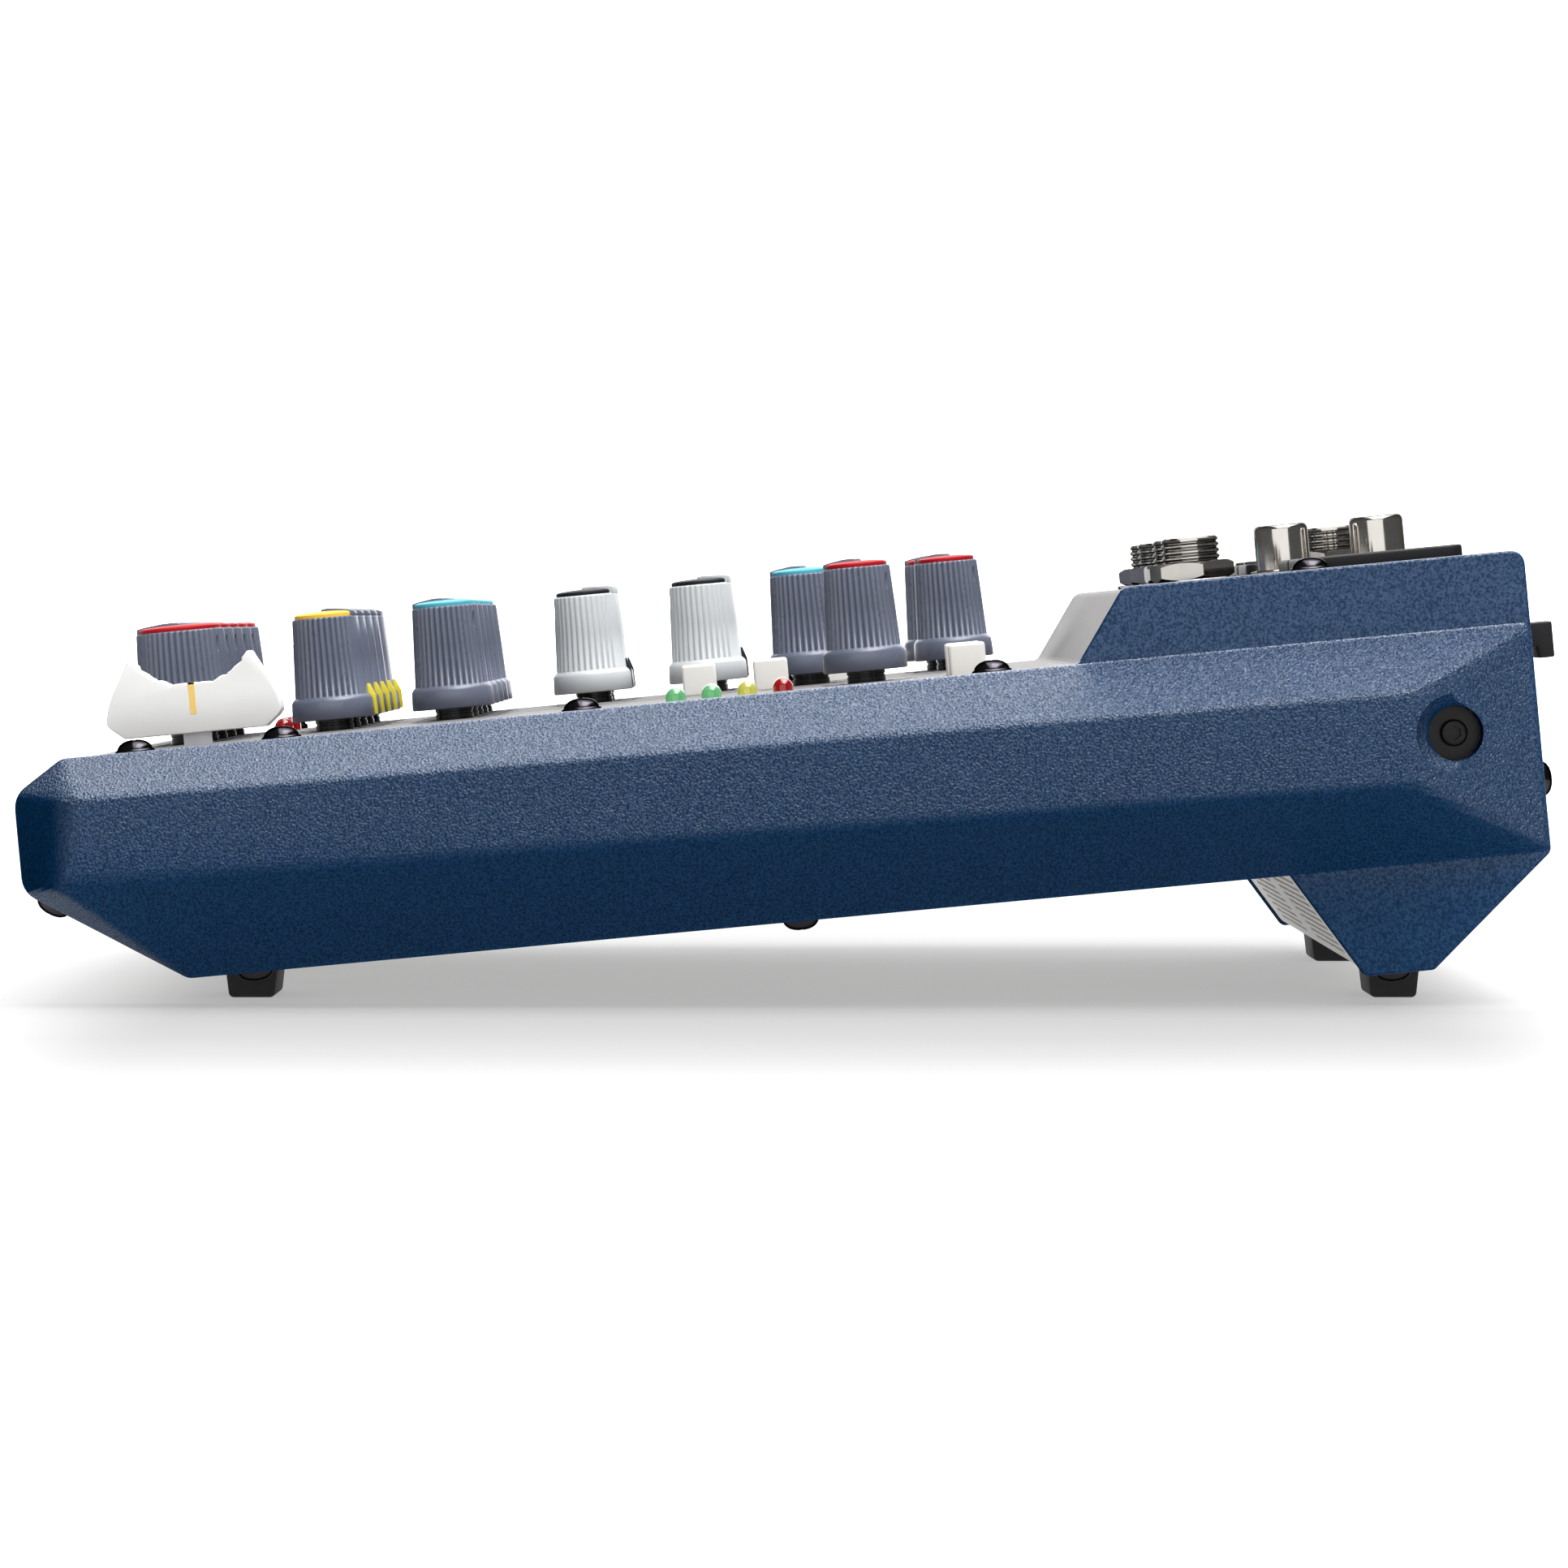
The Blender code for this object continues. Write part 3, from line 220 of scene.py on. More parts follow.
def moulded_grain(name, colour):
    """Cheek plastic with a fine grain, deeper on the moulded face than on the flat plate, with
    painted shade on the front end and a painted sheen set by face direction and height.
    """
    s = Surface(name)
    speck = s.noise(2700.0, 2.0)
    s.colour(speck, scaled(colour, 0.7), scaled(colour, 1.4), (0.36, 0.64))
    # painted shade: darker base colour on faces towards the front end
    s.paint_shade("Y", *CHEEK_FRONT_SHADE)
    s.rough(s.noise(2300.0, 2.0), 0.22, 0.36)
    # painted sheen and shade: gloss strength set by face direction and by height above the floor
    spot = s.node("ShaderNodeNewGeometry").outputs
    facing = s.axes(spot["True Normal"])
    painted_sheen = s.mapped(facing["Z"], *CHEEK_PAINTED_SHEEN)
    ends = s.mapped(facing["Y"], CHEEK_ENDS)
    floor_shade = s.mapped(s.axes(spot["Position"])["Z"], CHEEK_FLOOR_SHADE, kind="SMOOTHSTEP")
    upright = s.mapped(facing["Z"], *CHEEK_UPRIGHT)
    s.link(upright.outputs["Result"], floor_shade.inputs["To Min"])
    share = painted_sheen.outputs["Result"]
    for other in (floor_shade, ends, s.mapped(speck, *CHEEK_GLINT)):
        share = s.math("MULTIPLY", share, other.outputs["Result"])
    s.link(share, s.shader.inputs["Specular IOR Level"])
    aside = s.math("ABSOLUTE", s.axes(s.coord)["X"])
    depth = s.mapped(aside, GRAIN_EDGE, GRAIN_DEPTH)
    grain = s.bump(speck, 0.7, 0.8 * MM)
    s.link(depth.outputs["Result"], grain.inputs["Strength"])
    return s.mat


def satin_paint(name, colour, rough=0.5):
    s = Surface(name)
    s.shader.inputs["Specular IOR Level"].default_value = 0.3
    s.colour(s.noise(45.0), scaled(colour, 0.93), scaled(colour, 1.06))
    s.rough(s.noise(320.0), rough - 0.05, rough + 0.08)
    s.bump(s.noise(3200.0, 2.0), 0.12, 0.03 * MM)
    return s.mat


def lens(name, colour):
    s = Surface(name, coat=0.6)
    s.colour(s.noise(600.0), scaled(colour, 0.82), scaled(colour, 1.12))
    s.rough(s.noise(900.0), 0.08, 0.16)
    s.shader.inputs["Transmission Weight"].default_value = 0.7
    s.shader.inputs["Emission Color"].default_value = (*colour, 1.0)
    s.shader.inputs["Emission Strength"].default_value = 0.08
    return s.mat


def rubber(name, colour):
    s = Surface(name)
    s.colour(s.noise(200.0), scaled(colour, 0.7), scaled(colour, 1.5))
    s.rough(s.noise(500.0), 0.62, 0.82)
    s.bump(s.noise(1800.0, 4.0), 0.3, 0.08 * MM)
    return s.mat


BLUE = srgb(13, 52, 88)
LOOK = {
    "cheek": moulded_grain("cheek_grain", BLUE),
    "panel": satin_paint("panel_silver", srgb(96, 93, 92)),
    "pan": satin_paint("pan_silver", srgb(232, 230, 227)),
    "print": satin_paint("print_navy", srgb(18, 36, 62), 0.42),
    "grey": plastic("knob_grey", srgb(99, 105, 122), 0.28, 0.07, 0.3, 2600.0),
    "pale": plastic("knob_pale", srgb(196, 200, 202), 0.42, 0.03, 0.25, 2600.0),
    "teal": plastic("cap_teal", srgb(88, 172, 190), 0.45, 0.05, shine=0.12),
    "yellow": plastic("cap_yellow", srgb(248, 200, 76), 0.45, 0.05, shine=0.12),
    "mark": plastic("mark_yellow", srgb(250, 212, 122), 0.35, 0.04, shine=0.2),
    "lemon": plastic("pointer_lemon", srgb(228, 210, 52), 0.35, 0.05),
    "red": plastic("cap_red", srgb(164, 26, 32), 0.45, 0.06, shine=0.12),
    "dark": plastic("cap_black", srgb(34, 35, 38), 0.45, 0.08, shine=0.12),
    "stem": plastic("stem_black", srgb(14, 14, 16), 0.2, 0.10, 0.05, shine=0.4),
    "white": plastic("button_white", srgb(228, 226, 220), 0.38, 0.02, 0.12),
    "fader": plastic("fader_white", srgb(236, 236, 234), 0.36, 0.02, 0.15),
    "black": plastic("moulded_black", srgb(26, 26, 29), 0.5, 0.12, 0.25, shine=0.25),
    "bolt": plastic("bolt_black", srgb(8, 8, 10), 0.25, 0.1, 0.05, 1800.0, shine=0.25),
    "screw": metal("screw_black", srgb(66, 64, 68), 0.16, 0.06, edge=0.15),
    # top=0.3 puts painted shade on its upward faces
    "nickel": metal("bright_nickel", srgb(214, 210, 204), 0.12, 0.04, edge=0.2, top=0.3),
    "steel": metal("plated_steel", srgb(176, 176, 178), 0.28, 0.06),
    "lever": metal("lever_zinc", srgb(222, 222, 226), 0.42, 0.06),
    "gold": metal("contact_gold", srgb(214, 170, 96), 0.22, 0.06),
    "board": plastic("board_green", srgb(28, 84, 48), 0.4, 0.12),
    "rubber": rubber("foot_rubber", srgb(24, 24, 25)),
    "lamp_green": lens("lamp_green", srgb(138, 222, 158)),
    "lamp_yellow": lens("lamp_yellow", srgb(236, 236, 120)),
    "lamp_red": lens("lamp_red", srgb(190, 14, 24)),
}


# Mesh helpers
def piece(name, bm, look, body, place=CASE, smooth=35.0):
    """New object from a mesh given in the frame named by place, riding a body."""
    return from_mesh(name, shared(name, bm), look, body, place, smooth)


def shared(name, bm):
    """Mesh made from a bmesh, for one object or for many."""
    bmesh.ops.recalc_face_normals(bm, faces=bm.faces)
    mesh = bpy.data.meshes.new(name)
    bm.to_mesh(mesh)
    bm.free()
    return mesh


def with_look(mesh, look):
    """Copy of a shared mesh for one finish, made once."""
    name = mesh.name + "_" + look
    made = bpy.data.meshes.get(name)
    if not made:
        made = mesh.copy()
        made.name = name
    return made


def from_mesh(name, mesh, look, body, place=CASE, smooth=35.0):
    """New object from a mesh, given its finish if it has none yet."""
    if not mesh.materials:
        mesh.materials.append(LOOK[look])
        mesh.shade_smooth()
        mesh.set_sharp_from_angle(angle=math.radians(smooth))
    obj = bpy.data.objects.new(name, mesh)
    bpy.context.scene.collection.objects.link(obj)
    obj.matrix_world = place
    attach(obj, body)
    return obj


def loft(rings, bm=None, cap=True):
    """Skin over rings of equal length, closed at both ends."""
    bm = bm or bmesh.new()
    rows = [[bm.verts.new(p) for p in ring] for ring in rings]
    count = len(rows[0])
    for low, high in zip(rows[:-1], rows[1:]):
        for i in range(count):
            j = (i + 1) % count
            bm.faces.new((low[i], low[j], high[j], high[i]))
    if cap:
        bm.faces.new(rows[0][::-1])
        bm.faces.new(rows[-1])
    return bm


def in_mm(pairs):
    return [(a * MM, b * MM) for a, b in pairs]


def circle(radius, z, sides, centre=(0.0, 0.0)):
    step = 2.0 * math.pi / sides
    return [
        (centre[0] + radius * math.cos(i * step), centre[1] + radius * math.sin(i * step), z)
        for i in range(sides)
    ]


def lathe(profile, sides, centre=(0.0, 0.0, 0.0), bm=None):
    """Turned solid from (radius, height) pairs, its ends capped flat."""
    spot = (centre[0], centre[1])
    return loft([circle(r, centre[2] + z, sides, spot) for r, z in profile], bm)


def tube(profile, sides, centre=(0.0, 0.0, 0.0), bm=None):
    """Turned ring from a closed (radius, height) outline."""
    spot = (centre[0], centre[1])
    rings = [circle(r, centre[2] + z, sides, spot) for r, z in profile]
    return loft(rings + [rings[0]], bm, False)


def slab(outline, axis, low, high, bm=None):
    """Flat outline carried along X or Z."""
    if axis == "x":
        rings = [[(at, a, b) for a, b in outline] for at in (low, high)]
    else:
        rings = [[(a, b, at) for a, b in outline] for at in (low, high)]
    return loft(rings, bm)


def bar(low, high, bm=None):
    outline = ((low[0], low[1]), (high[0], low[1]), (high[0], high[1]), (low[0], high[1]))
    return slab(outline, "z", low[2], high[2], bm)


def soften(bm, width, segments=3, angle=25.0, keep=None):
    """Rounds the edges sharper than an angle."""
    bmesh.ops.remove_doubles(bm, verts=bm.verts, dist=1e-7)
    bmesh.ops.recalc_face_normals(bm, faces=bm.faces)
    limit = math.radians(angle)
    edges = [e for e in bm.edges if len(e.link_faces) == 2 and e.calc_face_angle() > limit]
    if keep:
        edges = [e for e in edges if keep(e)]
    bmesh.ops.bevel(
        bm, geom=edges, offset=width, segments=segments, profile=0.5, affect="EDGES",
        clamp_overlap=True,
    )
    return bm


def rounded(outline, radii, steps=5):
    """Closed outline with its corners rounded, one radius or one for each corner."""
    points = [Vector(p) for p in outline]
    if not hasattr(radii, "__len__"):
        radii = [radii] * len(points)
    out = []
    for i, p in enumerate(points):
        a = (points[i - 1] - p).normalized()
        b = (points[(i + 1) % len(points)] - p).normalized()
        half = a.angle(b) / 2.0
        if radii[i] <= 0.0 or half > math.radians(89.5):
            out.append(tuple(p))
            continue
        centre = p + (a + b).normalized() * (radii[i] / math.sin(half))
        arm = p + a * (radii[i] / math.tan(half)) - centre
        turn = 1.0 if a.x * b.y - a.y * b.x < 0 else -1.0
        sweep = math.pi - 2.0 * half
        for k in range(steps + 1):
            t = turn * sweep * k / steps
            c, s = math.cos(t), math.sin(t)
            out.append((centre.x + arm.x * c - arm.y * s, centre.y + arm.x * s + arm.y * c))
    return out


def combined(base, tool, operation):
    """Exact boolean of two meshes, both consumed."""
    objects = []
    for bm in (base, tool):
        bmesh.ops.recalc_face_normals(bm, faces=bm.faces)
        mesh = bpy.data.meshes.new("work")
        bm.to_mesh(mesh)
        bm.free()
        obj = bpy.data.objects.new("work", mesh)
        bpy.context.scene.collection.objects.link(obj)
        objects.append(obj)
    mod = objects[0].modifiers.new("join", "BOOLEAN")
    mod.operation = operation
    mod.solver = "EXACT"
    mod.object = objects[1]
    bpy.context.view_layer.update()
    graph = bpy.context.evaluated_depsgraph_get()
    result = bmesh.new()
    result.from_object(objects[0], graph)
    for obj in objects:
        mesh = obj.data
        bpy.data.objects.remove(obj)
        bpy.data.meshes.remove(mesh)
    return result


def mirrored(bm):
    bmesh.ops.scale(bm, verts=bm.verts, vec=(-1.0, 1.0, 1.0))
    bmesh.ops.reverse_faces(bm, faces=bm.faces)
    return bm


# Cheeks, with soft edges, a flat lip above and below and a counterbored screw
SCREW_U, SCREW_W = case_centre("right_cheek_screw").yz
RAMP_SHIFT = 0.26 * MM


def cheek_outline(flush):
    """Side outline of a cheek, its upper edges proud of the sheet or flush with it."""
    panel, hump, shift = (PANEL_TOP, HUMP_TOP, RAMP_SHIFT) if flush else (PANEL_W, HUMP_W, 0.0)
    return (
        (0.0, 15.7 * MM), (0.0, 30.8 * MM), (7.9 * MM, panel), (167.0 * MM + shift, panel),
        (175.0 * MM + shift, hump), (BODY_DEPTH, hump), (BODY_DEPTH, 0.0), (217.7 * MM, -LEG_DROP),
        (206.9 * MM, -LEG_DROP), (196.7 * MM, 0.0), (24.4 * MM, 0.0),
    )


CORNERS = [r * MM for r in (4.0, 4.0, 3.0, 1.5, 2.0, 2.2, 1.5, 1.2, 1.2, 0.6, 2.5)]
FACET = (
    (6.0 * MM, 16.3 * MM), (9.0 * MM, 29.6 * MM),
    (BODY_DEPTH - 19.2 * MM, 26.9 * MM), (BODY_DEPTH - 20.6 * MM, 12.1 * MM),
)
ROOT_CORNERS = [r * MM for r in (4.0, 4.0, 3.0, 1.5, 1.5, 2.5)]
ROOT_INSET = 0.9985
ROOT_SINK = 0.6 * MM
RINGS = 44
SPINE_REACH = 0.94  # how near the innermost ring comes to the spine of the face
BORE_R = 4.3 * MM
SEAT_X = LIP_X - 0.9 * MM


def mix(a, b, share):
    return a + (b - a) * share


def share_of(value, low, high):
    return (value - low) / (high - low)


def soft_min(a, b, reach):
    """Lower of two heights, blended where they differ by less than a reach."""
    over = max(reach - abs(a - b), 0.0)
    return min(a, b) - over * over / (4.0 * reach)


def inside(point, start, stop):
    """Distance of a point to the right of a directed line."""
    along = (Vector(stop) - Vector(start)).normalized()
    gap = Vector(point) - Vector(start)
    return gap.x * along.y - gap.y * along.x


def cheek_height(u, w, root):
    """How far the moulded face stands out of the plate at one place; each side has its blend."""
    low_front, high_front, high_rear, low_rear = FACET
    top = root[2][1]
    along = share_of(u, low_front[0], low_rear[0])
    upper = mix(high_front[1], high_rear[1], along)
    lower = mix(low_front[1], low_rear[1], along)
    up = share_of(w, low_front[1], high_front[1])
    front = mix(low_front[0], high_front[0], up)
    rear = mix(BODY_DEPTH - low_rear[0], BODY_DEPTH - high_rear[0], up)
    faces = (
        ((top - w) / (top - upper), 0.8),
        (w / lower, 1.2),
        (u / front, 4.6),
        ((BODY_DEPTH - u) / rear, 1.0),
        (inside((u, w), root[1], root[2]) / inside(high_front, root[1], root[2]), 1.2),
        (inside((u, w), root[5], root[0]) / inside(low_front, root[5], root[0]), 1.2),
    )
    height = CHEEK_BULGE
    for share, reach in faces:
        height = soft_min(height, CHEEK_BULGE * share, reach * MM)
    return height


def dense(outline, step):
    """Closed outline with points added along its long sides."""
    out = []
    for a, b in zip(outline, outline[1:] + outline[:1]):
        a, b = Vector(a), Vector(b)
        count = max(1, round((b - a).length / step))
        out += [tuple(a.lerp(b, k / count)) for k in range(count)]
    return out


def cheek_mesh(flush):
    line = cheek_outline(flush)
    root = (line[0], line[1], line[2], (BODY_DEPTH, line[3][1]), line[6], line[10])
    plate = slab(rounded(line, CORNERS), "x", INNER_X, LIP_X)
    soften(plate, 0.35 * MM, 2, 40.0, lambda e: min(v.co.x for v in e.verts) > LIP_X - 1e-6)
    centre = Vector((BODY_DEPTH / 2, PANEL_W / 2))
    edge = dense(rounded(root, ROOT_CORNERS), 2.0 * MM)
    rim = [centre.lerp(Vector(p), ROOT_INSET) for p in edge]
    ends = (Vector((26.0 * MM, 22.5 * MM)), Vector((BODY_DEPTH - 40.0 * MM, 19.0 * MM)))
    spine = ends[1] - ends[0]
    rows = [[(LIP_X - ROOT_SINK, p.x, p.y) for p in rim]]
    for ring in range(RINGS):
        row = []
        for p in rim:
            along = min(1.0, max(0.0, (p - ends[0]).dot(spine) / spine.length_squared))
            q = p.lerp(ends[0] + spine * along, SPINE_REACH * ring / (RINGS - 1))
            height = max(cheek_height(q.x, q.y, root), -0.4 * MM)
            row.append((LIP_X + height, q.x, q.y))
        rows.append(row)
    bulge = loft(rows)
    bmesh.ops.remove_doubles(bulge, verts=bulge.verts, dist=1e-6)
    whole = combined(plate, bulge, "UNION")
    length = HALF_WIDTH - SEAT_X
    mouth = LIP_X + cheek_height(SCREW_U, SCREW_W, root) - SEAT_X
    well = lathe(
        (
            (BORE_R, 0.0), (BORE_R, mouth - 1.3 * MM), (BORE_R + 0.15 * MM, mouth - 0.8 * MM),
            (BORE_R + 0.5 * MM, mouth - 0.25 * MM), (BORE_R + 1.0 * MM, mouth + 0.1 * MM),
            (BORE_R + 1.9 * MM, mouth + 0.4 * MM), (BORE_R + 2.5 * MM, length + 2.0 * MM),
        ), 56,
    )
    bmesh.ops.rotate(well, verts=well.verts, matrix=Matrix.Rotation(math.radians(90), 3, "Y"))
    bmesh.ops.translate(well, verts=well.verts, vec=(SEAT_X, SCREW_U, SCREW_W))
    return combined(whole, well, "DIFFERENCE")


def cheek_screw_mesh():
    """Socket head at the bottom of the counterbore, axis along X."""
    head = lathe(((1.9, 0.0), (2.1, 0.2), (2.1, 2.0), (1.95, 2.3), (1.7, 2.4)), 40)
    bmesh.ops.scale(head, verts=head.verts, vec=(MM, MM, MM))
    socket = lathe(((1.2 * MM, 1.0 * MM), (1.2 * MM, 4.0 * MM)), 6)
    head = combined(head, socket, "DIFFERENCE")
    washer = lathe(((BORE_R - 0.15 * MM, -0.15 * MM), (BORE_R - 0.15 * MM, 0.5 * MM)), 48)
    head = combined(head, washer, "UNION")
    bmesh.ops.rotate(head, verts=head.verts, matrix=Matrix.Rotation(math.radians(90), 3, "Y"))
    bmesh.ops.translate(head, verts=head.verts, vec=(LIP_X - 0.7 * MM, SCREW_U, SCREW_W))
    return head


for side in ("right", "left"):
    shell = cheek_mesh(side == "left")
    bolt = cheek_screw_mesh()
    if side == "left":
        mirrored(shell)
        mirrored(bolt)
    shell.transform(CASE)
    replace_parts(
        piece(side + "_cheek_shell", shell, "cheek", CONSOLE, Matrix(), 22.0),
        side + "_cheek",
    )
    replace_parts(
        piece(side + "_cheek_socket_screw", bolt, "bolt", CONSOLE),
        side + "_cheek_screw",
    )

# Knobs
KNOB_CLEAR = 1.9 * MM
SKIRT_H = 3.8 * MM
KNOB_H = 17.2 * MM
# Radii of skirt, body foot, rim and disc in millimetres, and the number of flutes
SIZES = {"plain": (7.0, 6.2, 5.55, 5.08, 34), "level": (8.9, 8.05, 7.4, 6.9, 42)}
FLUTE_STEPS = 6
SMOOTH_HALF = math.radians(36)
SMOOTH_FADE = 0.12
POINTER_HALF = 0.55 * MM
STEM_DEPTH = -6.9
# First part of the name, size, finish of body and top, turn of the pointer at rest
KNOB_STYLES = (
    ("level_knob", "level", "grey", "red", -150.0),
    ("pan_knob", "plain", "grey", "yellow", 0.0),
    ("effect_send_knob", "plain", "grey", "teal", -150.0),
    ("low_knob", "plain", "pale", "dark", 0.0),
    ("high_knob", "plain", "pale", "dark", 0.0),
    ("gain_knob", "plain", "grey", "red", -150.0),
    ("effect_return_knob", "plain", "grey", "teal", -150.0),
    ("phones_knob", "plain", "grey", "red", -150.0),
)


def fluted(radius, z, flutes, depth):
    """Ring of flutes that leaves the pointer side smooth."""
    count = flutes * FLUTE_STEPS
    ring = []
    for i in range(count):
        angle = 2.0 * math.pi * i / count
        away = abs((angle + 0.5 * math.pi) % (2.0 * math.pi) - math.pi)
        share = share_of(away, SMOOTH_HALF, SMOOTH_HALF + SMOOTH_FADE)
        cut = depth * min(max(share, 0.0), 1.0)
        r = radius - cut * (1.0 - abs(math.sin(flutes * angle / 2.0)))
        ring.append((r * math.cos(angle), r * math.sin(angle), z))
    return ring


def knob_body(size, flute_share):
    """Skirt and tapered fluted body, with a dimple on the side away from the pointer."""
    skirt, body, rim, disc, flutes = SIZES[size]
    low = KNOB_CLEAR / MM
    shoulder = low + SKIRT_H / MM
    top = low + KNOB_H / MM
    rows = (
        (skirt - 1.2, low, 0.0), (skirt - 0.2, low, 0.0), (skirt, low + 0.2, 0.0),
        (skirt - 0.12, shoulder - 0.75, 0.0), (skirt - 0.3, shoulder - 0.4, 0.0),
        (body + 0.12, shoulder, 0.0), (body, shoulder + 0.12, 0.46),
        (body + (rim - body) * 0.5, (shoulder + top) / 2, 0.44), (rim, top - 0.35, 0.4),
        (rim - 0.1, top - 0.12, 0.22), (rim - 0.32, top, 0.06), (disc + 0.12, top, 0.0),
        (disc + 0.1, top - 0.5, 0.0),
    )
    rings = [fluted(r * MM, z * MM, flutes, d * flute_share * MM) for r, z, d in rows]
    dimple = bmesh.new()
    bmesh.ops.create_icosphere(dimple, subdivisions=3, radius=MM)
    bmesh.ops.scale(dimple, verts=dimple.verts, vec=(0.42, 0.5, 1.5))
    spot = (0.0, -(rim + 0.05) * MM, (top - 2.7) * MM)
    bmesh.ops.translate(dimple, verts=dimple.verts, vec=spot)
    return combined(loft(rings), dimple, "DIFFERENCE")


def knob_fin(size, tip):
    """Raised tongue on the top, widening from the centre to the pointer edge."""
    rim, disc = SIZES[size][2:4]
    top = (KNOB_CLEAR + KNOB_H) / MM
    line = [(-0.1 * disc, top - 0.3), (rim + 0.2, top - 0.3), (rim + 0.2, top + tip)]
    line += [(rim - 0.25, top + tip + 0.4), (disc * 0.75, top + 0.95 + tip * 0.5)]
    line += [(disc * 0.3, top + 1.45), (disc * 0.1, top + 1.48)]
    line += [(-0.06 * disc, top + 1.42), (-0.1 * disc, top + 1.15)]
    tongue = slab(in_mm(line), "x", -rim * MM, rim * MM)
    reach = rim - 0.06
    turns = [math.radians(90.0 + a) for a in (-28, -19, -9, 0, 9, 19, 28)]
    plan = [(-1.0, -0.2 * disc), (1.0, -0.2 * disc)]
    plan += [(reach * math.cos(a), reach * math.sin(a)) for a in turns]
    wedge = slab(in_mm(plan), "z", (top - 1.0) * MM, (top + 3.0) * MM)
    return soften(combined(tongue, wedge, "INTERSECT"), 0.2 * MM, 2, 35.0)


def knob_disc(size):
    disc = SIZES[size][3]
    top = (KNOB_CLEAR + KNOB_H) / MM
    rows = ((disc, top - 0.45), (disc, top + 0.5), (disc * 0.975, top + 0.68))
    rows += ((disc * 0.85, top + 0.86), (disc * 0.5, top + 1.0), (disc * 0.1, top + 1.05))
    return lathe(in_mm(rows), 64)


def knob_pointer(size, proud):
    """Coloured rib on the skirt and the foot of the body."""
    skirt, body = SIZES[size][:2]
    low = KNOB_CLEAR / MM
    shoulder = low + SKIRT_H / MM
    line = [(skirt - 0.9, low + 0.25), (skirt + proud, low + 0.25)]
    line += [(skirt + proud - 0.08, shoulder - 0.4)]
    line += [(body + 0.08 + proud * 0.5, shoulder + 1.65), (body - 0.7, shoulder + 1.75)]
    bm = slab(in_mm(line), "x", -POINTER_HALF, POINTER_HALF)
    return soften(bm, 0.06 * MM, 2, 20.0)


def knob_stem():
    rows = ((3.1, STEM_DEPTH), (3.2, STEM_DEPTH + 0.2), (3.2, 0.9), (3.05, 1.0), (3.05, 1.3))
    return lathe(in_mm(rows + ((3.2, 1.4), (3.2, 2.0))), 40)


KNOB_MESHES = {
    size: (
        shared(size + "_body", knob_body(size, 1.0)),
        shared(size + "_fin", knob_fin(size, 0.3)),
        shared(size + "_disc", knob_disc(size)),
        shared(size + "_line", knob_pointer(size, 0.1)),
    )
    for size in SIZES
}
STEM = shared("stem", knob_stem())
PAN_LINE = shared("pan_line", knob_pointer("plain", 0.5))
PALE_BODY = shared("pale_body", knob_body("plain", 0.5))
PALE_FIN = shared("pale_fin", knob_fin("plain", 0.75))


def dress_knob(node, size, body_look, cap_look, turn):
    spot = Matrix.Translation(joint_of[node]["pos_m"]) @ Matrix.Rotation(TILT, 4, "X")
    aimed = spot @ Matrix.Rotation(math.radians(-turn), 4, "Z")
    body, fin, disc, line = KNOB_MESHES[size]
    if body_look == "pale":
        body, fin = PALE_BODY, PALE_FIN
    body = with_look(body, body_look)
    grip = from_mesh(node + "_grip", body, body_look, node, aimed, 50.0)
    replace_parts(grip, node)
    from_mesh(node + "_fin", with_look(fin, body_look), body_look, node, aimed)
    from_mesh(node + "_cap", with_look(disc, cap_look), cap_look, node, aimed)
    line_look = cap_look
    if cap_look == "yellow":
        line, line_look = PAN_LINE, "lemon"
    from_mesh(node + "_pointer", with_look(line, line_look), line_look, node, aimed)
    from_mesh(node + "_stem", with_look(STEM, "stem"), "stem", node, aimed)


for stem_name, size, body_look, cap_look, turn in KNOB_STYLES:
    for node in sorted(frame["nodes"]):
        if node.startswith(stem_name):
            dress_knob(node, size, body_look, cap_look, turn)

# Push buttons
for node in sorted(n for n in frame["nodes"] if n.endswith("_button") or "_button_" in n):
    low, high = case_span(node)
    cap = soften(bar(low, high), 0.55 * MM, 4)
    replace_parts(piece(node + "_cap", cap, "white", node), node)

# Fader
fader_low, fader_high = case_span("fader_cap")
FADER_X, FADER_U = (fader_low.x + fader_high.x) / 2, (fader_low.y + fader_high.y) / 2
# Half the cap in millimetres, from the foot up to the middle of the scalloped saddle
HALF_CAP = [
    (11.2, 0.0), (13.2, 1.6), (13.8, 2.3), (13.9, 2.9), (13.6, 4.4), (13.1, 5.9), (12.4, 7.4),
    (11.5, 8.9), (10.4, 10.9), (9.9, 11.9), (9.6, 12.3), (9.2, 12.1), (8.7, 11.5), (8.4, 11.25),
    (8.35, 10.7), (7.7, 10.3), (7.1, 9.9), (6.5, 9.3), (5.95, 9.05), (5.9, 8.75), (5.2, 8.75),
    (4.6, 8.55), (4.0, 8.15), (3.6, 8.0), (3.5, 7.65), (2.6, 7.95), (1.6, 8.0), (0.8, 7.9),
    (0.0, 7.85),
]
base_w = fader_low.z
ring = HALF_CAP + [(-u, w) for u, w in HALF_CAP[-2::-1]]
ring = [(FADER_U + u * MM, base_w + w * MM) for u, w in ring]
cap = soften(slab(ring, "x", fader_low.x, fader_high.x), 0.3 * MM, 3, 60.0)
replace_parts(piece("fader_cap_moulding", cap, "fader", "fader"), "fader_cap")
mark = bmesh.new()
proud = 0.06 * MM
MARK_HALF = 0.5 * MM
